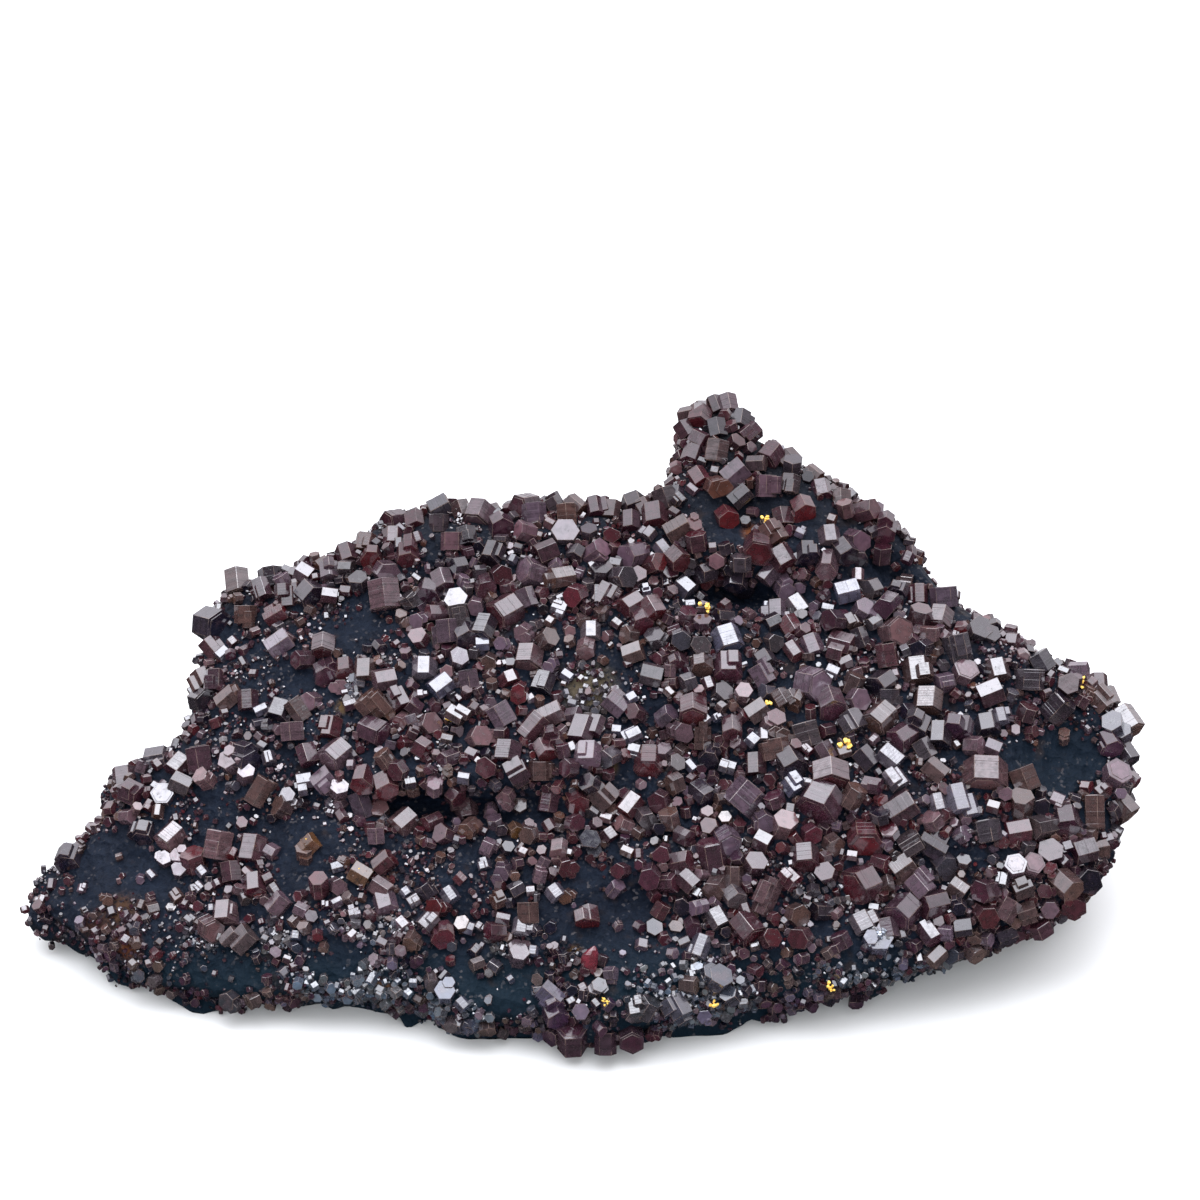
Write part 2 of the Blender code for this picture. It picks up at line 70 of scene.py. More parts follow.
# Rises and hollows of the face: middle, half length, half width, turn in degrees, height.
SWELLS = [
    (-25, 51, 42, 6, 9, 3.5),
    (34, 61, 22, 8, -38, 4.0),
    (50, 14, 26, 16, -15, 4.0),
    (-30, 24, 16, 8, 20, 2.0),
    (30, 50, 12, 3, 0, 2.5),
    (36, -12, 16, 6, 10, 2.0),
    (-5, -21, 18, 5, 0, 2.0),
    (62, 38, 16, 3, -32, 2.0),
    (26, 42, 10, 3, -5, -7.0),
    (51, 45, 10, 3, -38, -5.5),
    (-21, 8, 17, 2.5, 0, -5.5),
    (-22, 14, 20, 4, 2, 2.5),
    (-71, -1, 13, 5, -10, -2.5),
    (74, 15, 9, 5, -10, -3.0),
    (-48, 25, 10, 5, 15, -2.0),
    (3, 21, 13, 5, -20, -2.0),
    (9, -8, 12, 5, 10, -2.5),
    (-44, -17, 14, 3, 0, -1.5),
    (-12, -17, 14, 4, 0, -1.5),
]
# How far the face swells out of the patch between its sides, how much less for each millimetre up the slope,
# and how squarely it drops off at the rim.
EDGE_DROP, EDGE_DROP_FALL, EDGE_ROUND = 8.0, 0.055, 7.0

# The wall: how far the foot stands in from the rim, how much farther in at the right and farther out at the
# back, how far it bellies out between them, and the middle of the foot.
FOOT_INSET, FOOT_INSET_RIGHT, FOOT_OUT_BACK, BELLY = 5.0, 8.0, 8.0, 3.0
FOOT_MIDDLE = (22.0, -8.0)

# Broad lumps all over the rock: the way each wave runs, its length and its place along that way, and how
# high the lumps are on the face and on the wall.
LUMP_WAVES = [
    ((0.8, 0.5, 0.3), 31.0, 0.4),
    ((-0.5, 0.8, 0.4), 24.0, 2.1),
    ((0.2, -0.4, 0.9), 19.0, 4.0),
    ((0.9, -0.3, -0.4), 15.0, 1.2),
    ((-0.4, -0.6, 0.7), 12.0, 5.3),
]
FACE_LUMP, WALL_LUMP = 0.8, 2.6

# Crystals are set out on a chart held square on before the face and seen from one point: squares
# across from its left and down from its top, with its middle before the eye, and how many squares a
# millimetre would take at one millimetre from the eye.
CHART_EYE = np.array([2.6, 41.0, 427.0])
CHART_MIDDLE, CHART_SPREAD = 600, 2500

# Bare rock with few crystals on it: middle and half sizes in the face's frame.
BARE = [
    (-71, -1, 12, 6), (-44, 1, 6, 6), (-38, 35, 6, 3), (-45, 27, 5, 3), (-19, 8, 16, 3),
    (-13, -19, 8, 3.5), (-38, -16, 5, 2), (4, -8, 10, 6), (9, 13, 5, 3), (74, 15, 9, 5),
    (22, 54, 7, 5), (26, 42, 10, 3), (51, 45, 9, 3), (60, 40, 9, 3),
    (33, 58, 7, 4), (39, 53, 6, 4),
]

# Crystals set out one by one: name, where there is one, place across and down the chart, width, length,
# turn, rise, spin and look. The turn starts at the right and runs against the clock over the face, the rise
# is out of the face and the spin about the crystal's own length, all in degrees. Rows with one name make
# one cluster. The looks are s plain, p pale pink, w frosted, d dark, r red, u purple, t tan, g grey,
# a amber, f fine pale growth, e flame red and b white.
LARGE = [
    ("peak_1", 731, 400, 4.0, 3.4, -80, 25, 20, "s"),
    ("peak_2", 700, 422, 4.6, 3.6, -105, 45, 30, "r"),
    ("peak_3", 717, 452, 4.4, 3.8, -100, 5, 25, "t"),
    ("peak_4", 769, 457, 4.6, 3.8, -130, 35, 30, "s"),
    ("rim_1", 441, 503, 4.8, 3.6, 28, 0, 28, "g"),
    ("rim_2", 478, 518, 5.4, 3.8, -110, 35, 25, "p"),
    ("rim_3", 526, 502, 4.8, 3.6, 190, 40, 10, "u"),
    ("rim_3", 535, 517, 4.4, 3.8, -85, 5, 5, "p"),
    ("rim_4", 568, 519, 3.8, 4.2, -85, 5, 30, "t"),
    ("rim_5", 239, 580, 4.8, 4.4, -80, 25, 20, "t"),
    ("rim_6", 215, 627, 5.9, 4.8, -12, 45, 10, "d"),
    ("rim_7", 197, 702, 4.6, 3.8, -8, 60, 20, "d"),
    ("rim_8", 394, 522, 4.4, 3.6, 190, 40, 0, "u"),
    ("rim_9", 280, 645, 4.4, 4.2, 35, 0, 30, "p"),
    ("upper_1", 386, 597, 5.8, 5.0, -82, 12, 25, "p"),
    ("upper_2", 532, 574, 5.0, 3.8, 160, 37, 10, "p"),
    ("upper_3", 505, 613, 5.4, 4.4, -150, 30, 15, "s"),
    ("upper_3", 484, 629, 4.2, 3.8, -110, 35, 25, "d"),
    ("upper_4", 324, 649, 4.4, 3.4, -90, 40, 28, "s"),
    ("upper_5", 528, 660, 5.0, 3.6, -100, 35, 20, "p"),
    ("upper_6", 679, 531, 4.6, 4.2, 30, 5, 25, "t"),
    ("middle_1", 533, 727, 4.0, 4.6, -130, 5, 20, "s"),
    ("middle_1", 549, 717, 4.2, 4.6, 25, 5, 25, "p"),
    ("middle_2", 374, 734, 4.8, 4.2, -20, 30, 15, "s"),
    ("middle_3", 338, 756, 5.0, 4.0, -140, 35, 15, "p"),
    ("middle_4", 508, 753, 4.8, 3.2, -100, 20, 25, "s"),
    ("middle_5", 649, 764, 4.8, 4.0, -95, 50, 5, "r"),
    ("middle_6", 693, 711, 5.0, 3.6, -90, 45, 28, "r"),
    ("left_1", 218, 846, 5.0, 4.6, -100, 5, 20, "p"),
    ("left_2", 254, 850, 4.6, 4.2, -100, 20, 20, "s"),
    ("left_3", 172, 838, 4.6, 3.8, -135, 30, 20, "p"),
    ("left_4", 164, 797, 4.0, 3.0, 90, 63, 0, "w"),
    ("left_5", 211, 931, 4.2, 3.4, -20, 60, 10, "p"),
    ("foot_1", 572, 1036, 4.8, 4.6, 90, 40, 5, "u"),
    ("foot_2", 630, 1036, 4.3, 4.0, -80, 65, 0, "u"),
    ("front_1", 748, 930, 4.8, 4.2, -50, 35, 10, "r"),
    ("brow_1", 758, 549, 5.2, 4.4, -100, 60, 0, "r"),
    ("brow_2", 727, 640, 4.8, 3.8, -70, 26, -9, "w"),
    ("brow_3", 896, 633, 5.2, 3.6, 20, 65, 10, "p"),
    ("right_1", 819, 804, 7.6, 4.4, -126, 33, 28, "s"),
    ("right_1", 831, 777, 6.6, 3.6, -90, 38, 30, "s"),
    ("right_2", 865, 839, 5.7, 3.8, -90, 55, 0, "r"),
    ("right_3", 900, 808, 5.0, 4.6, 33, 8, 35, "s"),
    ("right_4", 861, 886, 6.2, 3.8, -161, 35, 20, "r"),
    ("right_5", 746, 798, 6.3, 4.6, -131, 3, 8, "p"),
    ("right_6", 985, 776, 7.4, 4.2, -95, 30, 5, "p"),
    ("right_7", 901, 867, 4.4, 3.6, 36, 0, 30, "t"),
    ("right_8", 903, 912, 5.0, 4.2, -140, 40, 10, "u"),
    ("right_9", 987, 832, 4.4, 3.6, -80, 10, 20, "g"),
    ("right_10", 1015, 868, 3.8, 3.4, 100, 60, 0, "p"),
    ("right_10", 1029, 867, 3.8, 3.4, 60, 60, 15, "p"),
    ("right_11", 711, 857, 4.9, 5.0, 100, 15, 5, "u"),
    ("right_11", 727, 842, 4.4, 3.4, -60, 60, 0, "p"),
    ("right_12", 805, 857, 4.4, 3.4, -90, 40, 10, "s"),
    ("right_13", 964, 674, 4.4, 3.0, 70, 50, 0, "p"),
    ("right_14", 940, 621, 4.4, 3.6, -110, 35, 28, "s"),
    ("right_15", 928, 703, 4.9, 3.8, -100, 30, 22, "t"),
    ("right_16", 881, 718, 4.8, 4.2, -140, 30, 20, "t"),
    ("end_1", 1127, 722, 5.0, 4.4, -60, 30, 0, "t"),
    ("end_2", 1112, 776, 4.8, 3.4, 60, 50, 0, "p"),
    ("end_3", 1056, 709, 5.0, 4.2, 50, 20, 28, "d"),
    ("end_4", 1028, 681, 5.0, 3.4, -92, 0, 0, "g"),
    ("end_5", 1093, 813, 3.6, 5.4, -90, 8, 25, "t"),
    ("right_17", 811, 686, 5.4, 4.0, -10, 50, 0, "p"),
    ("right_17", 829, 705, 5.0, 4.0, -75, 50, 20, "s"),
    ("right_18", 806, 737, 4.6, 4.0, -75, 5, 25, "g"),
]
MIDDLE = [
    (737, 423, 4.0, 3.0, -100, 25, 25, "g"), (751, 433, 3.8, 3.2, -140, 20, 0, "s"),
    (734, 474, 4.4, 4.0, 40, 5, 30, "p"), (740, 497, 3.8, 3.6, 40, 0, 30, "d"),
    (727, 519, 3.8, 3.0, -60, 60, 10, "r"), (664, 503, 4.4, 3.6, -70, 5, 25, "g"),
    (656, 518, 4.4, 3.8, -85, 35, 10, "s"), (802, 511, 4.0, 3.2, -70, 50, 20, "r"),
    (783, 557, 4.0, 3.4, -60, 25, 0, "s"), (452, 543, 3.8, 3.0, -90, 5, 0, "p"),
    (501, 529, 4.4, 3.2, -60, 60, 0, "u"), (595, 507, 3.8, 3.2, -80, 30, 10, "s"),
    (631, 499, 4.6, 3.6, -70, 55, 0, "d"), (631, 524, 3.8, 3.2, -90, 30, 20, "s"),
    (567, 536, 4.6, 3.0, 90, 63, 0, "w"), (272, 570, 4.6, 3.4, -80, 10, 0, "d"),
    (409, 557, 4.0, 3.2, -85, 45, 10, "s"), (388, 573, 4.4, 3.0, -30, 60, 0, "p"),
    (247, 616, 4.0, 3.0, -90, 0, 0, "t"), (312, 595, 4.6, 3.4, -40, 45, 0, "d"),
    (218, 680, 3.8, 3.2, -90, 10, 10, "s"), (230, 699, 4.0, 3.6, 40, 10, 20, "t"),
    (326, 674, 4.2, 3.2, -60, 60, 0, "u"), (349, 557, 3.8, 3.2, -70, 30, 0, "s"),
    (280, 713, 3.8, 3.2, -110, 35, 10, "d"), (293, 734, 4.2, 3.0, -85, 5, 25, "p"),
    (386, 680, 3.8, 3.4, -170, 20, 20, "p"), (373, 708, 4.4, 4.0, 130, 10, 20, "t"),
    (400, 701, 3.8, 3.2, -60, 20, 30, "s"), (425, 670, 4.2, 3.0, -90, 27, 0, "w"),
    (430, 725, 3.8, 3.0, 30, 60, 10, "p"), (443, 582, 3.8, 3.2, -70, 30, 20, "s"),
    (430, 593, 4.0, 3.2, -100, 55, 0, "u"), (457, 604, 4.0, 3.2, 90, 63, 10, "w"),
    (449, 633, 4.2, 3.8, -85, 5, 25, "p"), (464, 637, 4.0, 3.2, -60, 50, 0, "d"),
    (491, 556, 3.8, 3.2, -110, 35, 20, "d"), (441, 686, 4.0, 3.4, -143, 17, 21, "w"),
    (470, 681, 3.8, 3.0, -80, 5, 25, "p"), (501, 717, 4.4, 3.6, -60, 0, 25, "p"),
    (479, 739, 3.8, 3.0, 30, 60, 0, "p"), (543, 686, 4.0, 3.4, -110, 30, 20, "d"),
    (519, 772, 3.8, 3.2, 30, 5, 25, "s"), (582, 735, 4.6, 4.2, -110, 30, 30, "s"),
    (586, 758, 4.4, 3.6, -95, 40, 10, "p"), (364, 778, 4.0, 3.4, -100, 50, 20, "r"),
    (386, 783, 4.0, 3.2, -70, 45, 10, "r"), (404, 825, 4.2, 3.6, -140, 30, 15, "p"),
    (247, 763, 4.2, 3.4, -10, 45, 0, "d"), (325, 780, 3.8, 3.4, 40, 0, 10, "p"),
    (202, 762, 4.4, 4.2, -80, 5, 28, "s"), (179, 767, 3.8, 3.2, -130, 30, 20, "s"),
    (157, 758, 3.8, 3.4, 10, 10, 10, "g"), (119, 766, 3.8, 3.2, -80, 20, 0, "p"),
    (233, 764, 3.8, 3.0, 120, 50, 0, "p"), (182, 785, 3.8, 3.2, -25, 5, 20, "g"),
    (136, 795, 4.4, 3.6, -20, 30, 20, "s"), (196, 861, 4.0, 3.2, 100, 30, 20, "r"),
    (72, 861, 4.4, 3.4, -100, 50, 0, "d"), (225, 914, 3.8, 3.2, -90, 35, 10, "p"),
    (243, 940, 4.2, 3.6, 45, 5, 20, "t"), (361, 876, 3.8, 3.2, -30, 5, 20, "a"),
    (385, 906, 3.8, 3.2, -70, 40, 0, "p"), (600, 797, 4.2, 3.6, -45, 0, 20, "t"),
    (576, 800, 3.8, 3.0, -60, 55, 0, "r"), (631, 606, 3.8, 3.4, -150, 30, 20, "s"),
    (653, 611, 4.2, 3.4, -60, 30, 20, "r"), (640, 622, 3.8, 3.2, -70, 50, 0, "r"),
    (634, 656, 3.8, 3.2, 20, 10, 20, "t"), (616, 704, 3.8, 3.6, -40, 0, 28, "p"),
    (731, 730, 3.8, 3.2, -90, 45, 30, "s"), (727, 668, 4.8, 3.8, -90, 40, 0, "s"),
    (785, 828, 4.0, 3.6, 75, 48, 0, "p"), (910, 842, 3.9, 3.6, 32, 3, 5, "g"),
    (931, 905, 4.4, 4.0, -170, 25, 20, "s"), (919, 887, 4.2, 3.6, -50, 20, 10, "p"),
    (958, 801, 4.2, 4.4, -77, 26, -6, "w"), (1021, 782, 4.7, 3.8, -69, 5, 28, "t"),
    (1004, 909, 4.0, 3.6, -120, 5, 10, "p"), (990, 694, 4.6, 3.8, 22, 0, 28, "s"),
    (955, 651, 4.4, 4.4, -78, 0, 5, "g"), (881, 687, 4.4, 3.6, -150, 40, 10, "d"),
    (918, 673, 4.5, 4.0, -85, 25, 5, "t"), (941, 600, 4.6, 3.4, -85, 0, 5, "p"),
    (891, 758, 4.2, 3.6, -40, 18, -20, "w"), (901, 738, 4.4, 3.6, -150, 30, 15, "s"),
    (978, 633, 4.0, 3.0, 60, 60, 10, "g"), (998, 672, 3.8, 3.2, -80, 30, 0, "t"),
    (852, 722, 3.8, 3.4, -60, 20, 20, "g"), (917, 729, 4.2, 3.6, -120, 45, 0, "d"),
    (937, 738, 4.4, 3.8, -100, 35, 20, "d"), (959, 731, 4.4, 3.4, -110, 45, 20, "u"),
    (987, 727, 4.0, 3.2, -85, 40, 10, "d"), (934, 771, 3.8, 3.6, -40, 10, 20, "t"),
    (1111, 727, 4.0, 3.4, 120, 50, 0, "g"), (1065, 822, 4.4, 3.6, -90, 50, 10, "u"),
    (1119, 806, 4.4, 4.0, -50, 20, 15, "t"), (1038, 665, 4.2, 3.2, -60, 0, 20, "g"),
    (1108, 744, 3.8, 3.2, -70, 50, 0, "u"), (1124, 755, 3.8, 3.2, -60, 30, 20, "d"),
    (840, 647, 4.4, 3.8, -15, 20, 10, "s"), (812, 647, 3.8, 3.2, -70, 20, 0, "p"),
    (845, 592, 4.2, 3.8, -166, 7, 26, "w"), (762, 677, 3.8, 3.4, -60, 5, 25, "p"),
    (758, 713, 3.8, 3.4, 35, 5, 20, "t"), (778, 750, 4.0, 3.2, -80, 5, 10, "t"),
    (790, 766, 5.0, 3.8, -60, 50, 0, "d"), (877, 941, 4.4, 3.0, 90, 63, 0, "w"),
    (677, 1007, 4.0, 3.6, -60, 20, 20, "g"), (718, 978, 4.0, 3.0, 60, 50, 0, "g"),
    (529, 914, 3.8, 3.2, -88, 5, 25, "t"), (442, 934, 3.8, 3.0, -80, 60, 0, "r"),
    (555, 1014, 3.8, 3.0, -60, 50, 0, "u"),
]
# Slimmer ones, in the same way.
SLIM = [
    (682, 405, 3.4, 2.8, 10, 30, 0, "t"), (698, 400, 3.4, 2.6, -90, 20, 0, "t"),
    (714, 402, 3.6, 3.0, -70, 20, 10, "s"), (718, 431, 3.4, 3.2, -80, 20, 20, "d"),
    (792, 457, 3.4, 2.8, -50, 25, 10, "t"), (688, 432, 3.4, 3.0, -60, 20, 30, "s"),
    (692, 457, 3.2, 3.0, -110, 30, 0, "s"), (684, 475, 3.4, 3.2, -120, 20, 20, "d"),
    (700, 478, 3.2, 3.0, -60, 30, 10, "r"), (676, 498, 3.2, 3.0, -100, 30, 30, "d"),
    (692, 529, 3.0, 3.0, 60, 50, 0, "p"), (784, 518, 3.4, 3.0, -80, 20, 30, "s"),
    (789, 487, 3.4, 3.0, -100, 15, 20, "g"), (820, 493, 3.4, 3.0, -80, 30, 0, "s"),
    (812, 477, 3.4, 2.8, -40, 20, 0, "t"), (840, 503, 3.6, 3.0, -90, 20, 30, "t"),
    (776, 537, 3.6, 3.2, -60, 20, 20, "t"), (769, 572, 3.6, 3.2, -130, 10, 30, "p"),
    (809, 553, 3.6, 3.0, -90, 40, 0, "d"), (829, 538, 3.6, 3.0, -84, 27, -3, "w"),
    (742, 583, 3.6, 3.0, -90, 45, 10, "d"), (394, 540, 3.4, 3.0, -90, 30, 0, "s"),
    (415, 524, 3.6, 3.0, -80, 40, 20, "s"), (439, 526, 3.4, 3.0, -90, 5, 0, "g"),
    (468, 538, 3.4, 3.2, -80, 20, 20, "d"), (463, 499, 3.4, 2.8, -70, 20, 30, "t"),
    (553, 502, 3.4, 2.8, -60, 0, 0, "g"), (575, 506, 3.4, 3.2, -40, 20, 0, "t"),
    (612, 502, 3.4, 3.0, -100, 20, 20, "t"), (645, 510, 3.2, 2.8, -60, 20, 0, "t"),
    (262, 591, 3.4, 3.4, -70, 20, 10, "s"), (278, 617, 3.4, 3.6, 30, 10, 30, "r"),
    (288, 599, 3.2, 3.4, -85, 15, 0, "s"), (191, 681, 3.4, 3.0, -60, 20, 30, "t"),
    (213, 650, 3.4, 3.6, -50, 5, 25, "s"), (304, 660, 3.4, 3.0, 180, 40, 0, "u"),
    (251, 702, 3.6, 3.2, -85, 15, 0, "s"), (307, 598, 3.2, 2.8, -110, 20, 0, "t"),
    (331, 573, 3.6, 3.0, -80, 30, 20, "p"), (366, 546, 3.4, 3.0, -100, 20, 10, "t"),
    (311, 704, 3.4, 3.0, 180, 65, 0, "p"), (299, 713, 3.6, 4.0, -55, 0, 30, "t"),
    (331, 729, 3.6, 3.2, -100, 20, 20, "r"), (347, 671, 3.6, 3.0, -80, 50, 0, "r"),
    (366, 672, 3.6, 3.2, -90, 25, 10, "t"), (460, 616, 3.6, 3.2, -80, 5, 20, "g"),
    (525, 600, 3.6, 3.2, -70, 10, 20, "p"), (458, 660, 3.4, 3.0, 70, 60, 0, "p"),
    (540, 771, 3.6, 3.0, -90, 0, 5, "t"), (546, 753, 3.4, 3.2, -60, 45, 20, "r"),
    (556, 745, 3.2, 2.6, -80, 60, 0, "u"), (361, 804, 3.6, 4.4, -70, 0, 25, "p"),
    (259, 791, 3.6, 4.6, -120, 0, 20, "t"), (308, 756, 3.6, 3.2, -70, 20, 20, "s"),
    (147, 833, 3.6, 3.0, -100, 45, 0, "d"), (231, 873, 3.6, 3.2, -80, 15, 20, "s"),
    (255, 887, 3.6, 3.2, -80, 40, 0, "r"), (280, 904, 3.4, 3.2, 50, 5, 10, "p"),
    (384, 864, 3.4, 3.2, 40, 10, 10, "r"), (382, 889, 3.6, 3.2, -30, 20, 10, "p"),
    (310, 846, 3.4, 3.2, 45, 10, 20, "a"), (549, 800, 3.4, 3.6, -100, 10, 20, "s"),
    (467, 811, 3.6, 3.2, -80, 15, 0, "p"), (603, 596, 3.6, 3.6, -120, 10, 25, "s"),
    (683, 588, 3.6, 3.0, -43, 19, -19, "w"), (701, 738, 3.2, 3.6, -90, 0, 20, "t"),
    (709, 757, 3.6, 3.2, -100, 60, 0, "d"), (667, 716, 3.2, 2.8, 40, 30, 10, "p"),
    (764, 822, 3.4, 3.0, -60, 70, 0, "p"), (768, 897, 3.4, 6.0, -115, 8, 10, "p"),
    (735, 877, 3.2, 3.2, -90, 0, 0, "t"), (719, 918, 3.4, 3.0, -59, 24, -14, "w"),
    (700, 948, 3.2, 3.6, -113, 25, 10, "w"), (598, 596, 3.2, 3.0, -90, 20, 0, "d"),
    (590, 634, 3.4, 2.8, -90, 27, 0, "w"), (931, 846, 3.6, 4.6, -31, 0, 30, "d"),
    (1027, 910, 3.4, 3.0, 20, 10, 10, "t"), (937, 804, 3.0, 2.8, -78, 26, -5, "w"),
    (944, 864, 3.6, 2.8, -50, 60, 10, "g"), (920, 596, 3.2, 3.2, -90, 15, 0, "r"),
    (862, 612, 3.6, 3.4, 60, 50, 0, "p"), (861, 640, 3.2, 3.4, -70, 10, 20, "d"),
    (943, 683, 3.2, 2.8, -170, 20, 10, "p"), (890, 699, 3.6, 2.8, -90, 0, 20, "g"),
    (923, 750, 3.6, 3.2, -60, 10, 20, "g"), (897, 781, 3.6, 3.0, -55, 23, -15, "w"),
    (866, 760, 3.6, 3.4, -50, 10, 20, "d"), (1095, 686, 3.4, 3.0, -90, 20, 0, "r"),
    (1098, 704, 3.6, 3.2, -50, 20, 20, "t"), (1110, 696, 3.4, 3.0, -70, 20, 0, "t"),
    (800, 609, 3.6, 3.2, -55, 23, -15, "w"), (777, 614, 3.6, 3.0, -90, 20, 20, "p"),
    (790, 628, 3.6, 3.2, -60, 30, 20, "r"), (765, 664, 3.6, 3.2, -60, 50, 0, "d"),
    (773, 722, 3.4, 3.0, 60, 50, 0, "p"), (756, 766, 3.6, 3.4, -90, 20, 20, "s"),
    (792, 786, 3.4, 2.8, -55, 23, -15, "w"), (825, 754, 3.4, 3.0, -60, 10, 10, "p"),
    (782, 699, 3.2, 2.8, -60, 20, 10, "t"), (888, 928, 3.4, 3.0, -80, 20, 10, "p"),
    (861, 924, 3.6, 3.0, -62, 24, -12, "w"), (649, 1007, 3.6, 3.2, 60, 20, 10, "g"),
    (634, 1009, 3.4, 2.8, -80, 40, 0, "g"), (606, 1042, 3.6, 3.4, -90, 0, 0, "u"),
    (590, 918, 3.4, 3.0, -80, 40, 20, "r"), (551, 996, 3.6, 3.8, -40, 5, 10, "p"),
    (446, 993, 3.4, 2.8, 90, 63, 0, "w"), (519, 957, 3.4, 2.8, 80, 50, 0, "p"),
]
# Little ones by place, width and look. A capital letter turns a cap to the viewer.
LITTLE = [
    (245, 651, 1.8, "s"), (262, 711, 2.2, "w"), (290, 641, 2.4, "p"), (224, 656, 2.8, "w"),
    (342, 689, 2.8, "p"), (402, 721, 2.6, "p"), (411, 721, 2.6, "p"), (415, 707, 3, "u"),
    (269, 759, 2.2, "w"), (248, 776, 3, "P"), (305, 782, 3, "w"), (341, 789, 3, "P"),
    (380, 813, 3, "P"), (289, 798, 2.8, "W"), (285, 806, 3, "t"), (332, 805, 1.6, "w"),
    (340, 806, 2.2, "p"), (376, 838, 3, "p"), (273, 852, 2.8, "p"), (206, 781, 3, "p"),
    (247, 765, 3, "p"), (156, 787, 1.8, "w"), (119, 783, 1.8, "w"), (130, 818, 2.6, "p"),
    (114, 811, 2.4, "r"), (103, 811, 2.2, "t"), (166, 860, 2.6, "P"), (181, 858, 2.8, "P"),
    (182, 872, 2.8, "P"), (204, 873, 2, "w"), (195, 889, 1.6, "w"), (201, 888, 1.6, "w"),
    (152, 876, 1.6, "w"), (140, 881, 1.6, "p"), (95, 828, 2, "u"), (73, 844, 2.2, "t"),
    (121, 858, 1.4, "t"), (96, 917, 1.6, "t"), (154, 911, 2.4, "t"), (190, 921, 1.6, "g"),
    (211, 909, 1.4, "w"), (265, 901, 1.8, "p"), (275, 919, 2, "g"), (304, 912, 2.6, "p"),
    (295, 922, 2, "t"), (305, 928, 2.2, "t"), (312, 917, 2.2, "u"), (297, 937, 1.8, "w"),
    (339, 887, 2.8, "p"), (337, 867, 2, "w"), (344, 863, 2, "t"), (354, 915, 2.2, "w"),
    (307, 853, 3, "t"), (231, 999, 3.2, "g"), (254, 1002, 2.6, "t"), (465, 507, 2.4, "w"),
    (401, 531, 1.8, "w"), (511, 560, 2, "w"), (558, 598, 2, "w"), (560, 609, 2.8, "w"),
    (534, 627, 2.2, "g"), (522, 634, 3, "p"), (483, 645, 2.6, "w"), (500, 644, 2.6, "p"),
    (406, 655, 2, "s"), (449, 674, 2.4, "p"), (550, 668, 2.4, "p"), (645, 593, 1.8, "w"),
    (690, 605, 1.8, "w"), (630, 637, 3.2, "t"), (587, 651, 3.2, "p"), (568, 677, 2, "w"),
    (665, 752, 2.8, "p"), (633, 751, 2.4, "w"), (616, 732, 2.2, "w"), (628, 737, 3, "w"),
    (632, 697, 2.2, "w"), (637, 714, 3, "s"), (707, 719, 1.6, "w"), (716, 719, 1.6, "w"),
    (728, 767, 2.8, "w"), (690, 768, 2, "w"), (572, 750, 2, "w"), (464, 779, 2.4, "w"),
    (438, 783, 3, "p"), (506, 799, 2.6, "w"), (521, 806, 2.8, "t"), (594, 812, 2.8, "g"),
    (490, 814, 2.4, "p"), (494, 826, 2.8, "p"), (516, 832, 2.4, "a"), (529, 827, 1.8, "p"),
    (649, 535, 2.6, "w"), (664, 551, 2.8, "w"), (718, 559, 2.8, "p"), (754, 513, 1.8, "p"),
    (801, 535, 2, "w"), (781, 449, 2.2, "w"), (797, 559, 1.8, "w"), (802, 586, 2.4, "p"),
    (828, 610, 2.4, "w"), (768, 608, 1.6, "w"), (818, 619, 2, "g"), (833, 673, 2.6, "w"),
    (767, 692, 2.4, "g"), (741, 697, 3, "p"), (753, 741, 2.6, "w"), (764, 736, 2, "w"),
    (781, 735, 2.8, "t"), (805, 782, 1.6, "w"), (796, 700, 2.8, "t"), (961, 834, 2.6, "p"),
    (964, 863, 2.4, "d"), (999, 718, 3, "w"), (414, 901, 2.2, "w"), (426, 892, 3, "d"),
    (451, 896, 2.8, "w"), (483, 865, 2.4, "w"), (506, 873, 2.8, "p"), (566, 868, 3, "s"),
    (554, 895, 3, "w"), (565, 897, 2.4, "t"), (518, 892, 2.8, "g"), (406, 892, 2, "w"),
    (437, 910, 3, "r"), (427, 924, 3, "w"), (412, 943, 2.8, "t"), (404, 924, 2.4, "p"),
    (462, 925, 2.6, "t"), (470, 928, 2.2, "w"), (480, 928, 1.6, "w"), (497, 931, 3, "r"),
    (523, 926, 3, "w"), (533, 951, 2, "w"), (452, 946, 1.8, "g"), (478, 964, 2.2, "t"),
    (495, 967, 2.2, "g"), (489, 975, 1.6, "t"), (511, 981, 1.4, "w"), (433, 981, 2.6, "t"),
    (450, 983, 1.6, "w"), (463, 1004, 2.2, "w"), (458, 1024, 2.4, "g"), (467, 1023, 2.4, "g"),
    (473, 1021, 2.4, "g"), (449, 1033, 2.4, "t"), (488, 1029, 2.4, "t"), (537, 990, 1.6, "g"),
    (532, 1011, 1.6, "g"), (489, 1001, 1.4, "g"), (553, 1038, 3, "u"), (582, 1012, 2.8, "p"),
    (598, 988, 2.6, "g"), (612, 974, 2.4, "p"), (704, 1012, 2.4, "p"), (729, 994, 2.8, "g"),
    (688, 985, 3, "t"), (616, 890, 2.6, "p"), (662, 911, 2.8, "r"), (682, 907, 3, "d"),
    (654, 932, 3, "d"), (310, 846, 2.6, "a"), (361, 876, 2.6, "a"),
]

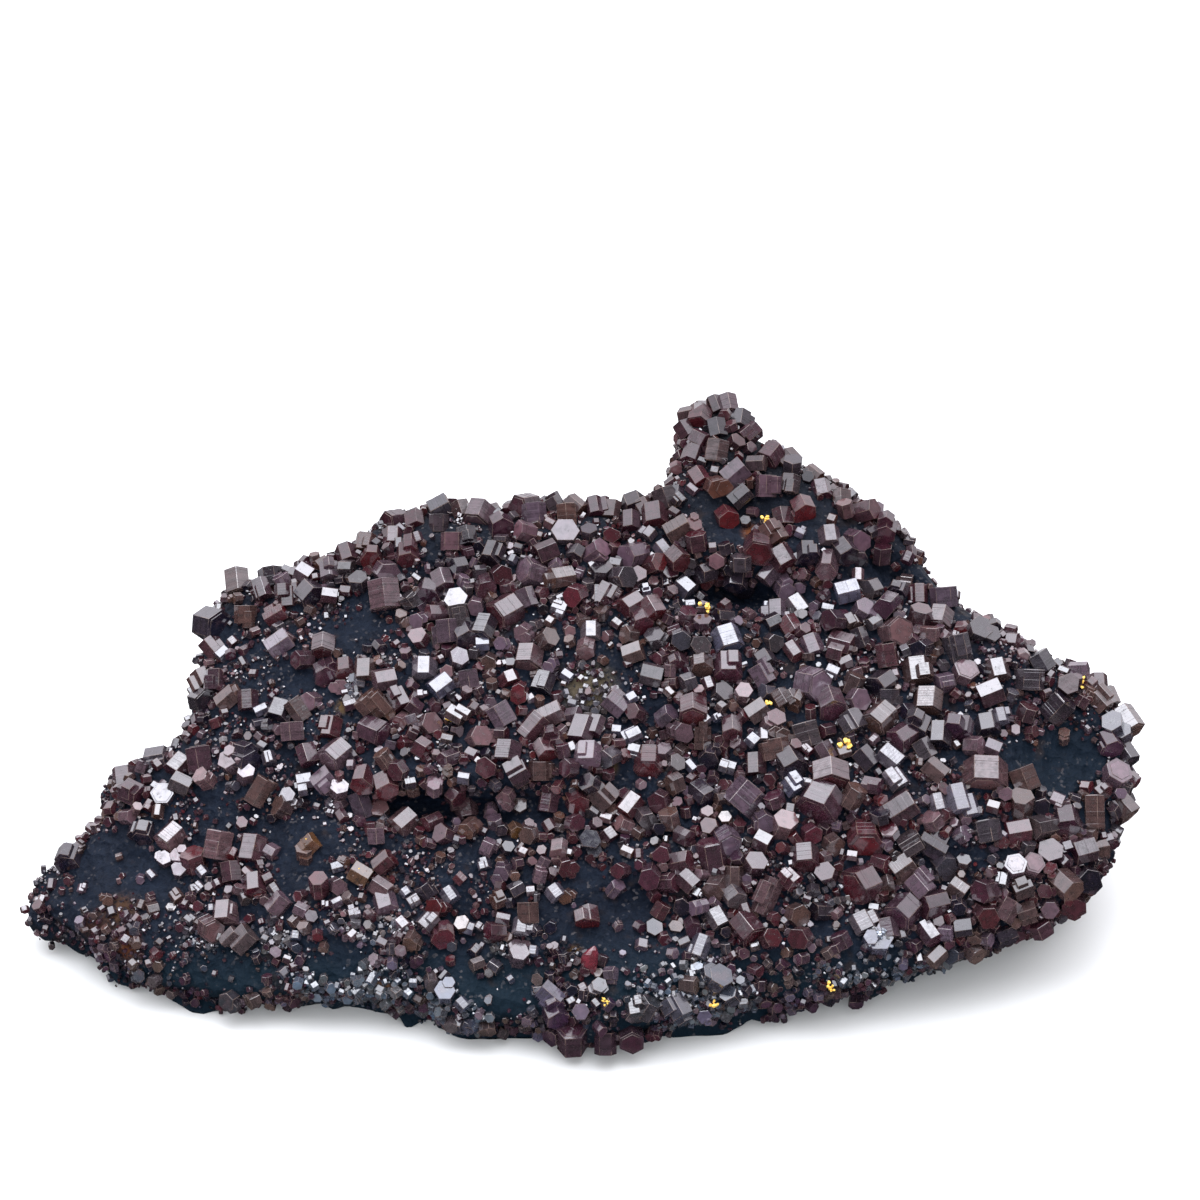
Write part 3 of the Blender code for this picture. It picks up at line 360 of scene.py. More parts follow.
# The looks' red, green and blue, and how often grown crystals have each look.
TINTS = {
    "s": (0.049, 0.014, 0.021), "p": (0.115, 0.066, 0.084), "w": (0.090, 0.080, 0.110),
    "d": (0.008, 0.006, 0.012), "r": (0.068, 0.011, 0.016), "u": (0.037, 0.012, 0.022),
    "t": (0.078, 0.040, 0.033), "g": (0.040, 0.034, 0.042), "a": (0.120, 0.052, 0.018),
    "f": (0.100, 0.090, 0.100), "e": (0.160, 0.010, 0.018), "b": (0.360, 0.360, 0.400),
}
LOOKS = "sssssssspppdddrrutttgg"
FINE_LOOKS = LOOKS + "ddddddssss"
# How much lighter or darker a crystal is than its look, and how much redder or greyer.
TINT_LIGHT, TINT_WARMTH = (0.7, 1.35), 0.14

# Yellow grains by place on the chart and width. The last three sit on amber crystals as painted highlights.
GOLD = [
    (455, 721, 1.5), (705, 617, 1.5), (769, 528, 1.4), (845, 749, 1.9), (768, 708, 1.0), (1076, 688, 1.2),
    (604, 1003, 0.9), (713, 999, 1.2), (828, 980, 1.0), (311, 841, 0.5), (358, 872, 0.7), (362, 804, 0.6),
]
# Ovals of fine pale growth: place on the chart and half sizes in squares.
FROSTED = [
    (372, 930, 34, 12), (496, 946, 14, 9), (360, 985, 66, 22), (450, 1015, 36, 22), (828, 892, 34, 16),
    (690, 995, 64, 34), (352, 692, 10, 14), (900, 970, 80, 18), (590, 700, 26, 26), (240, 940, 50, 14),
]

# Ovals where few crystals grow, in the same way.
THIN = [
    (744, 452, 14, 22), (773, 476, 18, 18), (722, 528, 24, 22), (758, 512, 18, 20), (816, 508, 22, 14),
    (738, 600, 34, 10), (800, 545, 16, 10), (1056, 768, 46, 26),
]

# How far the crystals are sunk in the rock, as a share of their height over it: the large ones, and the
# middle-size and slim ones.
LARGE_SUNK, MIDDLE_SUNK = 0.42, 0.38


# ---------------------------------------------------------------- frames and the leaning face

# About the most that the waves of the lumps come to together, how much closer the grid is packed towards
# its ends, and the height from which a wall bellies out in full.
LUMP_TOTAL, PACKED_TO_ENDS, TALL_WALL = 2.5, 0.55, 20.0
# The places looked at on the face, across and up: how many, and the margin left as a share.
SAMPLE_CELLS, SAMPLE_MARGINS = (480, 240), (0.004, 0.01)


def upright(points):
    """Points of the leaning frame as level ones: x right, y back, z up."""
    right, up, out = np.moveaxis(np.asarray(points, float), -1, 0)
    back = up * math.sin(LEAN) - out * math.cos(LEAN)
    high = up * math.cos(LEAN) + out * math.sin(LEAN)
    return np.stack([right, back, high], axis=-1)


def leaning(points):
    """Level points back in the leaning frame: right, up the slope, out of the face."""
    x, y, z = np.moveaxis(points, -1, 0)
    up = y * math.sin(LEAN) + z * math.cos(LEAN)
    out = -y * math.cos(LEAN) + z * math.sin(LEAN)
    return np.stack([x, up, out], axis=-1)


def unit(ways):
    """Each way divided by its length."""
    return ways / np.maximum(np.linalg.norm(ways, axis=-1, keepdims=True), 1e-9)


def level_ways(turn, rise):
    """Unit vectors from a turn about the vertical and a rise above the level."""
    return np.stack([np.cos(rise) * np.cos(turn), np.cos(rise) * np.sin(turn), np.sin(rise)], axis=-1)


def along(side, share):
    """Points of a side at shares of its length."""
    side = np.asarray(side, float)
    steps = np.linalg.norm(np.diff(side, axis=0), axis=1)
    length = np.concatenate([[0.0], np.cumsum(steps)]) / steps.sum()
    return np.stack([np.interp(share, length, side[:, k]) for k in range(3)], axis=-1)


def lumps(points):
    """A gentle lumpiness between about -1 and 1, as a sum of waves through space."""
    total = np.zeros(points.shape[:-1])
    for way, length, place in LUMP_WAVES:
        way = np.array(way) / np.linalg.norm(way)
        total += np.sin(2 * math.pi * (points @ way) / length + place)
    return total / LUMP_TOTAL


def swell(right, up):
    """The rises and hollows, each a smooth bump."""
    total = np.zeros_like(right)
    for middle, height_at, long, wide, turn, rise in SWELLS:
        angle = math.radians(turn)
        x = (right - middle) * math.cos(angle) + (up - height_at) * math.sin(angle)
        y = (up - height_at) * math.cos(angle) - (right - middle) * math.sin(angle)
        total += rise * np.exp(-((x / long) ** 2) - (y / wide) ** 2)
    return total


def face_points(across, rise):
    """The leaning face at shares across and up it: a patch between its four sides, plus its relief, which
    dies away at the rim."""
    left, right = along(RIM_LEFT, rise), along(RIM_RIGHT, rise)
    bottom, top = along(RIM_BOTTOM, across), along(RIM_TOP, across)
    a, b = across[..., None], rise[..., None]
    corners = (
        (1 - a) * (1 - b) * np.array(RIM_LEFT[0]) + a * (1 - b) * np.array(RIM_RIGHT[0])
        + (1 - a) * b * np.array(RIM_LEFT[-1]) + a * b * np.array(RIM_RIGHT[-1])
    )
    points = (1 - a) * left + a * right + (1 - b) * bottom + b * top - corners
    within = (1 - np.abs(2 * across - 1) ** (2 * EDGE_ROUND)) * (1 - np.abs(2 * rise - 1) ** EDGE_ROUND)
    drop = EDGE_DROP - EDGE_DROP_FALL * points[..., 1]
    relief = swell(points[..., 0], points[..., 1]) + FACE_LUMP * lumps(points)
    points[..., 2] += drop * np.sqrt(within) + relief * within
    return points


def closer_at_ends(count):
    """Shares from 0 to 1, packed closer towards both ends: even steps less one wave."""
    share = np.linspace(0.0, 1.0, count + 1)
    return share - PACKED_TO_ENDS * np.sin(2 * math.pi * share) / (2 * math.pi)


def wall_ring(rim, share):
    """One ring of the wall between the rim and the foot, bellied out and lumpy."""
    away = rim[:, :2] - np.array(FOOT_MIDDLE)
    away /= np.linalg.norm(away, axis=1)[:, None]
    to_right, to_back = np.clip(away, 0, 1).T
    inset = FOOT_INSET + FOOT_INSET_RIGHT * to_right - FOOT_OUT_BACK * to_back
    tall = np.clip(rim[:, 2] / TALL_WALL, 0.0, 1.0)
    ring = rim.copy()
    ring[:, 2] = rim[:, 2] * (1 - share)
    lumpy = WALL_LUMP * lumps(ring) * math.sin(math.pi * share)
    out = (BELLY * math.sin(math.pi * share) + lumpy) * tall - inset * share
    ring[:, :2] += away * out[:, None]
    return ring


def surface_samples():
    """Places on the face on a fine grid, with the way out of the face at each, in its own frame."""
    shares = (np.linspace(low, 1 - low, count) for low, count in zip(SAMPLE_MARGINS, SAMPLE_CELLS))
    across, rise = np.meshgrid(*shares, indexing="ij")
    spot = face_points(across, rise)
    out = np.cross(np.gradient(spot, axis=0), np.gradient(spot, axis=1))
    return spot.reshape(-1, 3), unit(out).reshape(-1, 3)


def on_chart(spots):
    """Squares across and down the chart at which points of the leaning frame are seen."""
    scale = CHART_SPREAD / (CHART_EYE[2] - spots[..., 2])
    across = CHART_MIDDLE + scale * (spots[..., 0] - CHART_EYE[0])
    down = CHART_MIDDLE - scale * (spots[..., 1] - CHART_EYE[1])
    return across, down


def nearest(samples, across, down):
    """The place on the face seen nearest to a place on the chart, and the way out of the face there."""
    spots, outs = samples
    seen_across, seen_down = on_chart(spots)
    k = np.argmin((seen_across - across) ** 2 + (seen_down - down) ** 2)
    return spots[k], outs[k]


def in_ovals(x, y, ovals, reach):
    """How far each place lies inside the nearest oval: 1 well inside, falling to 0 where the square of its
    distance, in half sizes, passes the reach."""
    most = np.zeros(len(x))
    for middle, level, half_long, half_wide in ovals:
        away = ((x - middle) / half_long) ** 2 + ((y - level) / half_wide) ** 2
        most = np.maximum(most, np.clip(reach - away, 0.0, 1.0))
    return most


def bareness(points):
    """1 in the middle of a bare patch, falling smoothly to 0 past its edge."""
    right, up, _ = np.moveaxis(leaning(points), -1, 0)
    return in_ovals(right, up, BARE, 1.6)


def on_patches(points, patches):
    """The same for patches laid out on the chart."""
    return in_ovals(*on_chart(leaning(points)), patches, 1.5)


# ---------------------------------------------------------------- rock

# The fine grid: cells across and up the face, and rings down the wall.
FINE_CELLS, FINE_WALL_RINGS = (300, 150), 55
# Layers of roughness, each a size and a height: fine ones all over, and blocky ones on the wall, which
# come in over its first rings.
ROUGHNESS_LAYERS = [(9.0, 0.55), (4.5, 0.34), (2.2, 0.20), (1.1, 0.10)]
BROKEN_LAYERS = [(13.0, 3.6), (6.0, 2.6), (2.9, 1.5)]
BROKEN_FROM = 6
ROUGHNESS_SEED, BROKEN_SEED = 7, 17
# The wall is drawn in at the right end: how far, from where, and over what run.
END_PULL, END_START, END_RUN = 4.0, 78.0, 8.0
# A crack: its corners in the face's frame, its depth and half its width.
CRACK = [(77.5, 10.0), (80.0, 11.2), (82.6, 11.9), (84.8, 12.9)]
CRACK_DEPTH, CRACK_HALF_WIDTH = 1.6, 0.8
# The height at which the roughness is full, how much less there is of it on bare patches, and the
# numbers along each side of the noise's lattice.
FOOT_FADE, BARE_SMOOTHER, LATTICE = 1.5, 0.35, 40


def noise(points, size, seed):
    """Smooth noise: random numbers on a cubic lattice, blended between the eight nearest by a cubic step."""
    lattice = np.random.default_rng(seed).uniform(-1, 1, (LATTICE, LATTICE, LATTICE))
    place = points / size
    cell = np.floor(place).astype(int)
    part = place - cell
    part = part * part * (3 - 2 * part)
    total = np.zeros(points.shape[:-1])
    for corner in np.ndindex(2, 2, 2):
        at = (cell + corner) % LATTICE
        weight = np.prod(np.where(corner, part, 1 - part), axis=-1)
        total += weight * lattice[at[..., 0], at[..., 1], at[..., 2]]
    return total


def mesh_normals(points, quads):
    """The average of the quads' normals round each point."""
    a, b, c, d = (points[quads[:, k]] for k in range(4))
    cross = np.cross(c - a, d - b)
    normals = np.zeros_like(points)
    for k in range(4):
        np.add.at(normals, quads[:, k], cross)
    return unit(normals)


def crack_depth(points):
    """How deep a jagged crack cuts into the rock: deepest on its line, nothing past its half width."""
    right, up, _ = np.moveaxis(leaning(points), -1, 0)
    deepest = np.zeros(len(points))
    for (x, y), (x_end, y_end) in zip(CRACK, CRACK[1:]):
        run, climb = x_end - x, y_end - y
        share = np.clip(((right - x) * run + (up - y) * climb) / (run * run + climb * climb), 0, 1)
        away = np.hypot(right - x - share * run, up - y - share * climb)
        deepest = np.maximum(deepest, CRACK_DEPTH * np.clip(1 - away / CRACK_HALF_WIDTH, 0.0, 1.0))
    return deepest


def rock_grid():
    """The rock before it is roughened: the leaning face on a grid and the bellied wall in rings. It gives the
    points, the quads, the ring at the foot and how many rings down the wall each point is."""
    columns, rows = FINE_CELLS
    across, rise = np.meshgrid(closer_at_ends(columns), closer_at_ends(rows), indexing="ij")
    face = upright(face_points(across, rise)).reshape(-1, 3)
    index = np.arange(len(face)).reshape(columns + 1, rows + 1)
    corners = [index[:-1, :-1], index[1:, :-1], index[1:, 1:], index[:-1, 1:]]
    quads = [np.stack(corners, axis=-1).reshape(-1, 4)]
    ring = np.concatenate([index[:-1, 0], index[-1, :-1], index[:0:-1, -1], index[0, :0:-1]])
    rim, points, start = face[ring], [face], len(face)
    for step in range(1, FINE_WALL_RINGS + 1):
        points.append(wall_ring(rim, step / FINE_WALL_RINGS))
        below = start + np.arange(len(ring))
        quads.append(np.stack([ring, below, np.roll(below, -1), np.roll(ring, -1)], axis=-1))
        ring = below
        start += len(ring)
    points = np.concatenate(points)
    points[:, 2] = np.maximum(points[:, 2], 0.0)
    return points, np.concatenate(quads), ring, (np.arange(len(points)) - len(face)) / len(ring)


def fine_rock():
    """The rock on a fine grid, pushed out along its normals by layers of noise: plain ones all over, and
    folded ones, half less the size of the noise, on the wall. They fade out at the foot, and the crack is
    cut last."""
    points, quads, foot, rings_down = rock_grid()
    normals = mesh_normals(points, quads)
    rough = sum(
        high * noise(points, size, ROUGHNESS_SEED + k) for k, (size, high) in enumerate(ROUGHNESS_LAYERS)
    )
    walled = np.clip(rings_down / BROKEN_FROM, 0.0, 1.0)
    points[:, 0] -= END_PULL * walled * np.clip((points[:, 0] - END_START) / END_RUN, 0.0, 1.0)
    rough += walled * sum(
        high * (0.5 - np.abs(noise(points, size, BROKEN_SEED + k)))
        for k, (size, high) in enumerate(BROKEN_LAYERS)
    )
    fade = np.clip(points[:, 2] / FOOT_FADE, 0.0, 1.0) * (1 - BARE_SMOOTHER * bareness(points))
    points += normals * (rough * fade - crack_depth(points))[:, None]
    points[:, 2] = np.maximum(points[:, 2], 0.0)
    return points, quads, foot, mesh_normals(points, quads)


def rock_piece(material):
    """The fine rock as a piece closed by a fan over its foot, and its surface as ground for crystals."""
    points, quads, foot, normals = fine_rock()
    closing = np.stack([foot, np.full(len(foot), len(points)), np.roll(foot, -1)], axis=1)
    closed = np.concatenate([points, [[*FOOT_MIDDLE, 0.0]]])
    rock = mesh_piece("rock", closed, quads.tolist() + closing.tolist(), material)
    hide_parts("ore_matrix")
    rock.data.shade_smooth()
    return Ground(points, quads, normals)


# ---------------------------------------------------------------- meshes of crystals

# Up the slope, the crystals' red, green and blue change by these shares: below the first level they are
# cooler, and above the second warmer, each coming in over the same run.
LOW_FRONT, COOLING = -8.0, np.array([-0.22, 0.06, 0.20])
HIGH_BACK, WARMING = 43.0, np.array([-0.12, -0.26, -0.26])
TINT_RUN = 8.0

# The cut along each edge: a share of a crystal's reach, but no wider than this, and the share on the ends
# of small ones. The corners of a cut end, or the height of a small one's, take a share of the cut.
BLOCK_CUT, WIDEST_CUT, KEEN_CUT, CUT_SHARE = 0.10, 0.055, 0.12, 0.8

# The large ones: how uneven, the cut along their edges, the levels of growth on their sides, how deep the
# steps between them are and half the height of one, and the plate on each end.
LARGE_UNEVEN, LARGE_CUT, LARGE_LEVELS = 0.05, 0.07, 9
STEP_DEPTH, STEP_HALF = 0.05, 0.02
PLATE_INSET, PLATE_RISE, PLATE_ROUND, PLATE_CUT = (0.25, 0.45), (0.04, 0.10), 0.05, 0.005


def in_scene(name, data):
    """A mesh, lamp or camera as an object in the scene."""
    item = bpy.data.objects.new(name, data)
    bpy.context.scene.collection.objects.link(item)
    return item


def mesh_object(name, points, faces, material):
    """A mesh from points in millimetres and faces."""
    mesh = bpy.data.meshes.new(name)
    mesh.from_pydata((points * MM).tolist(), [], faces)
    mesh.update()
    mesh.materials.append(material)
    return in_scene(name, mesh)


def mesh_piece(name, points, faces, material):
    """A mesh as a piece of the part."""
    piece = mesh_object(name, points, faces, material)
    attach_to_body(piece, "root")
    return piece


def attach(piece, name, values, domain="FACE"):
    """Keeps a number or a colour with each face or point of a piece, for its finish to read."""
    kind, key = ("FLOAT", "value") if np.ndim(values) == 1 else ("FLOAT_COLOR", "color")
    if key == "color":
        values = np.hstack([values, np.ones((len(values), 1))])
    layer = piece.data.attributes.new(name, kind, domain)
    layer.data.foreach_set(key, values.astype(np.float32).reshape(-1))


def hexagons(reach):
    """Corners of hexagons from how far their six sides lie from the middle: sides meet at 120 degrees."""
    turn = np.arange(6) * math.pi / 3
    nearer, farther = reach, np.roll(reach, -1, axis=1)
    slide = (farther - 0.5 * nearer) / math.sin(math.pi / 3)
    x = nearer * np.cos(turn) - slide * np.sin(turn)
    y = nearer * np.sin(turn) + slide * np.cos(turn)
    return np.stack([x, y], axis=-1)


def cut_corners(corners, cut):
    """Each corner made two, a cut's length along the sides that meet there."""
    to_last = unit(np.roll(corners, 1, axis=1) - corners)
    to_next = unit(np.roll(corners, -1, axis=1) - corners)
    cut = cut[:, None, None]
    pair = np.stack([corners + cut * to_last, corners + cut * to_next], axis=2)
    return pair.reshape(len(corners), 12, 2)


def frame_axes(axis):
    """A side and another direction at right angles to each axis."""
    guide = np.where(np.abs(axis[:, 2:]) < 0.9, [[0.0, 0.0, 1.0]], [[1.0, 0.0, 0.0]])
    side = unit(np.cross(axis, guide))
    return side, np.cross(axis, side)


def spun(axis, spin):
    """The way one side faces, for each axis and spin about it."""
    side, other = frame_axes(axis)
    return np.cos(spin)[:, None] * side + np.sin(spin)[:, None] * other


class Crystals:
    """A growing list of crystals: middle, axis, the way one side faces, reach of the six sides, length and
    colour, as arrays."""

    def __init__(self):
        self.rows = []

    def add(self, middle, axis, side, reach, length, tint):
        """Adds crystals, given as whole arrays."""
        self.rows.append((middle, axis, side, reach, length, tint))

    def arrays(self, where=None):
        """All crystals as arrays, or those whose places right and up the slope pass a test. Those low on the
        front are greyer and bluer, and those on the crest browner."""
        arrays = [np.concatenate(column) for column in zip(*self.rows)]
        right, up, _ = np.moveaxis(leaning(arrays[0]), -1, 0)
        low = np.clip((LOW_FRONT - up) / TINT_RUN, 0.0, 1.0)[:, None]
        high = np.clip((up - HIGH_BACK) / TINT_RUN, 0.0, 1.0)[:, None]
        arrays[5] = arrays[5] * (1 + low * COOLING) * (1 + high * WARMING)
        return arrays if where is None else [column[where(right, up)] for column in arrays]


def placed(rings, heights, middle, axis, side):
    """Rings in the crystal's own plane, at heights along its axis, carried to its place."""
    other = np.cross(axis, side)
    return (
        middle[:, None, None]
        + rings[..., :1] * side[:, None, None]
        + rings[..., 1:] * other[:, None, None]
        + heights[..., None, None] * axis[:, None, None]
    )


def stacked(name, rings, heights, arrays, edge_marks, material):
    """One mesh of many stacks of rings. A band of quads joins each ring to the next, marked where it is an
    edge painted pale, partly as wear and partly as a painted highlight, and a many-sided face closes each
    end."""
    middle, axis, side, _, _, tint = arrays
    count, levels, sides = rings.shape[:3]
    points = placed(rings, heights, middle, axis, side).reshape(-1, 3)
    start = (np.arange(count) * levels * sides)[:, None, None]
    near, level = np.arange(sides), (np.arange(levels - 1) * sides)[:, None]
    far = (near + 1) % sides
    band = np.stack([level + near, level + far, level + sides + far, level + sides + near], axis=-1)
    walls = (start + band.reshape(1, -1, 4)).reshape(-1, 4)
    low, high = start[:, 0] + near[::-1], start[:, 0] + (levels - 1) * sides + near
    faces = walls.tolist() + low.tolist() + high.tolist()
    piece = mesh_piece(name, points, faces, material)
    edges = np.tile(np.concatenate([marks(sides) for marks in edge_marks]), count)
    # The edge marks carry the pale edges: partly wear, partly a painted highlight.
    attach(piece, "edge", np.concatenate([edges, np.zeros(2 * count)]))
    attach(piece, "end", np.concatenate([np.zeros(len(walls)), np.ones(2 * count)]))
    attach(piece, "tint", np.concatenate([np.repeat(tint, (levels - 1) * sides, axis=0), tint, tint]))
    attach(piece, "along", np.repeat(heights.reshape(-1), sides), "POINT")
    return piece


def all_sides(sides):
    """Marks for a band whose edges are painted pale all round, partly as wear and partly as a painted
    highlight.
    """
    return np.ones(sides)


def narrow_sides(sides):
    """Marks for the narrow sides that cut corners leave."""
    return (np.arange(sides) % 2 == 0).astype(float)


def no_sides(sides):
    """Marks for a band whose edges aren't painted pale."""
    return np.zeros(sides)


def bevelled(name, arrays, full, drawn_in, rise, side_marks, material):
    """Prisms of four rings: full ones, and one drawn in at each end, the given rise beyond."""
    half = arrays[4] / 2
    rings = np.stack([drawn_in, full, full, drawn_in], axis=1)
    heights = np.stack([-half, rise - half, half - rise, half], axis=1)
    stacked(name, rings, heights, arrays, [all_sides, side_marks, all_sides], material)


def block_crystals(name, arrays, material):
    """Six-sided prisms with every edge cut."""
    reach = arrays[3]
    cut = np.minimum(WIDEST_CUT, reach.min(axis=1) * BLOCK_CUT)
    full = cut_corners(hexagons(reach), cut)
    drawn_in = cut_corners(hexagons(reach - cut[:, None]), cut * CUT_SHARE)
    bevelled(name, arrays, full, drawn_in, cut, narrow_sides, material)


def keen_crystals(name, arrays, material):
    """Six-sided prisms whose ends alone are bevelled, for small crystals."""
    reach = arrays[3]
    cut = KEEN_CUT * reach.mean(axis=1)
    drawn_in = hexagons(reach - cut[:, None])
    bevelled(name, arrays, hexagons(reach), drawn_in, cut * CUT_SHARE, no_sides, material)


def plain_crystals(name, arrays, material):
    """Six-sided prisms with sharp edges, for the finest growth."""
    ring, half = hexagons(arrays[3]), arrays[4] / 2
    rings, heights = np.stack([ring, ring], axis=1), np.stack([-half, half], axis=1)
    stacked(name, rings, heights, arrays, [no_sides], material)


def level_arrays(frames):
    """Crystals given in the leaning frame as level arrays, with the way one of their sides faces."""
    middle, axis, spin, width, length = (np.array(column, float) for column in zip(*frames))
    side = spun(axis, spin + math.pi / 6)
    return upright(middle), upright(axis), upright(side), width, length


def large_piece(name, cluster, draw, looks, material):
    """A large crystal or cluster: each prism is a stack of cut-cornered hexagons, given by how far each is
    drawn in and its height, with steps of growth down its sides and a raised plate on each end."""
    middle, axis, side, width, length = level_arrays(cluster)
    count, half = len(middle), length / 2
    reach, cut = uneven(draw, width, LARGE_UNEVEN), np.full(count, LARGE_CUT)
    steps = draw.uniform(0.0, STEP_DEPTH, (count, LARGE_LEVELS))
    plate = draw.uniform(*PLATE_INSET, count) * width / 4
    rise = draw.uniform(*PLATE_RISE, count)
    foot = [(plate + PLATE_ROUND, -half), (plate, rise - half), (cut, rise + PLATE_CUT - half)]
    sides = []
    for k, share in enumerate(np.linspace(-1, 1, LARGE_LEVELS)):
        level = share * (half - rise - cut)
        after = min(k + 1, LARGE_LEVELS - 1)
        sides += [(steps[:, k], level - STEP_HALF), (steps[:, after], level + STEP_HALF)]
    head = [(inset, -height) for inset, height in reversed(foot)]
    insets, heights = zip(*foot, *sides, *head)
    rings = [cut_corners(hexagons(reach - inset[:, None]), cut) for inset in insets]
    end_marks = [all_sides, no_sides, all_sides]
    marks = end_marks + [narrow_sides] * (2 * LARGE_LEVELS - 1) + end_marks
    arrays = (middle, axis, side, reach, length, tints(draw, looks))
    return stacked(name, np.stack(rings, axis=1), np.stack(heights, axis=1), arrays, marks, material)


def tints(draw, looks):
    """A colour for each crystal from its look, a little lighter or darker and redder or greyer."""
    base = np.array([TINTS[look.lower()] for look in looks])
    light = draw.uniform(*TINT_LIGHT, (len(base), 1))
    warmth = draw.uniform(-TINT_WARMTH, TINT_WARMTH, (len(base), 1)) * [1.0, 0.0, -1.2]
    return np.clip(base * light * (1 + warmth), 0.0, 1.0)


# ---------------------------------------------------------------- where crystals grow

# How coarse the growth is: at the middle, more by a share for each millimetre to the right, and never less
# than this. The raised rim adds to it, and it drops to the least at the low front.
COARSE_MIDDLE, COARSE_RIGHT, LEAST_COARSE, FINEST = 0.42, 0.0075, 0.12, 0.05
RIM_LEVEL, RIM_CLIMB, RIM_COARSE, BAND = 50, 0.08, 0.45, 7
LOW_LEVEL, LOW_RUN = -17, 10
# A band of rubble down the upper right edge: a point on it, its fall, where it starts and how much finer.
RUBBLE_PLACE, RUBBLE_FALL, RUBBLE_FROM, RUBBLE_FINER = (54.7, 46.1), 0.537, 50, 0.8

# How bare the bare patches stay where they reach over the wall, and the shift of a place within its quad.
BARE_ON_WALL = 0.4
JITTER = 0.28
ROOM_FOR, AT_A_TIME = 12000, 500

# Of the grown crystals' axes, up to the first share lie and point forwards, from there up to the second they
# stand, and the rest grow out of the ground. Angles are in degrees.
LYING, STANDING = 0.60, 0.78
FORWARDS, EITHER_SIDE, LYING_RISE, STANDING_RISE = -90, 75, (-12, 30), (48, 90)
OUTWARD_SCATTER, FACING_AWAY = 0.45, 0.1

# Widths run from narrow to wide with more of the narrow, and where the growth is fine they are less wide.
WIDTH_BIAS, FINE_WIDTH, COARSE_WIDTH = 0.8, 0.78, 0.22
GROWN_LENGTH = (0.55, 1.05)
FLOOR_GAP = 0.1

# The ranks of grown crystals: how many places are tried, the widest and narrowest, how close they stand as
# a share of their widths, the shares that are sunk, and the most that are kept.
Rank = namedtuple("Rank", "tries widest narrowest closeness sunk most")
COARSE = Rank(4000, 4.2, 2.6, 0.92, (0.15, 0.40), 170)
COMMON = Rank(12000, 2.6, 1.5, 0.86, (0.12, 0.40), 1250)
SMALL = Rank(14000, 1.5, 0.85, 0.74, (0.02, 0.40), 2100)
FINE = Rank(9000, 0.95, 0.28, 0.60, (0.05, 0.40), 4800)

# Patchiness: size of the patches, seed, middle, swing, least and most.
PATCHY = (9.0, 3, 0.45, 1.6, 0.04, 1.0)
CLUMPED = (4.0, 5, 0.45, 1.5, 0.03, 1.0)
SCATTERED = (14.0, 4, 0.0, 3.0, 0.05, 1.5)
# How sparse the scatter on the wall is, and how far from the rim the coarsest stay.
SCATTER, COARSE_INLAND, COARSE_BIAS = 0.045, 0.045, 1.5
# How far the growth thins out down the wall, as a share of its height: the larger crystals, and the smaller
# ones where the wall faces the front and where it doesn't.
LARGER_DOWN, FRONT_DOWN, BACK_DOWN, FACING_FRONT = 0.22, 0.80, 0.30, -0.25
# How much of the growth the bare and the thin patches lose, and how much more the frosted ones have.
BARE_LOSS, THIN_LOSS, FINE_BARE_LOSS, FINE_THIN_LOSS, PILED = 0.97, 0.96, 0.93, 0.92, 5


def coarseness(right, up):
    """How coarse the growth is: most on the right half and the raised rim, least low on the front, and less
    along the rubble. The rim and the rubble are smooth bands."""
    level = np.clip(COARSE_MIDDLE + COARSE_RIGHT * right, LEAST_COARSE, 1.0)
    rim = np.exp(-(((up - RIM_LEVEL - RIM_CLIMB * right) / BAND) ** 2)) * RIM_COARSE
    low = np.clip((up - LOW_LEVEL) / LOW_RUN, LEAST_COARSE, 1.0)
    off_rubble = up - RUBBLE_PLACE[1] + RUBBLE_FALL * (right - RUBBLE_PLACE[0])
    rubble = np.exp(-((off_rubble / BAND) ** 2)) * (right > RUBBLE_FROM)
    return np.clip((level + rim) * low * (1 - RUBBLE_FINER * rubble), FINEST, 1.0)


class Ground:
    """The fine rock's surface, quad by quad, from which places are drawn."""

    def __init__(self, points, quads, normals):
        self.middles = points[quads].mean(axis=1)
        # A quad that is folded flat has no way out: its normal isn't a number, and nothing grows on it.
        self.normals = normals[quads].mean(axis=1)
        self.normals /= np.linalg.norm(self.normals, axis=1)[:, None]
        a, b, c, d = (points[quads[:, k]] for k in range(4))
        self.area = 0.5 * np.linalg.norm(np.cross(c - a, d - b), axis=1)
        self.right, up, _ = np.moveaxis(leaning(self.middles), -1, 0)
        columns, rows = FINE_CELLS
        number, face_count = np.arange(len(quads)), columns * rows
        self.on_face = number < face_count
        column, row = np.divmod(number[:face_count], rows)
        from_side = np.minimum(column, columns - 1 - column) / columns
        from_end = np.minimum(row, rows - 1 - row) / rows
        self.inland = np.concatenate([np.minimum(from_side, from_end), np.zeros(len(quads) - face_count)])
        ring = (number - face_count) // (2 * (columns + rows)) / FINE_WALL_RINGS
        self.depth = np.where(self.on_face, 0.0, ring)
        self.bare = bareness(self.middles)
        self.bare[~self.on_face] *= BARE_ON_WALL
        self.coarse = coarseness(self.right, up)

    def draw(self, draw, count, weight):
        """Places drawn by area and weight, each a little off its quad's middle, their ways out and quads."""
        share = self.area * weight
        picked = draw.choice(len(share), count, p=share / share.sum())
        jitter = draw.uniform(-JITTER, JITTER, (count, 3))
        return self.middles[picked] + jitter, self.normals[picked], picked

    def patches(self, size, seed, middle, swing, least, most):
        """Patchiness over the ground: a middle share and the swing of a noise, within limits."""
        return np.clip(middle + swing * noise(self.middles, size, seed), least, most)


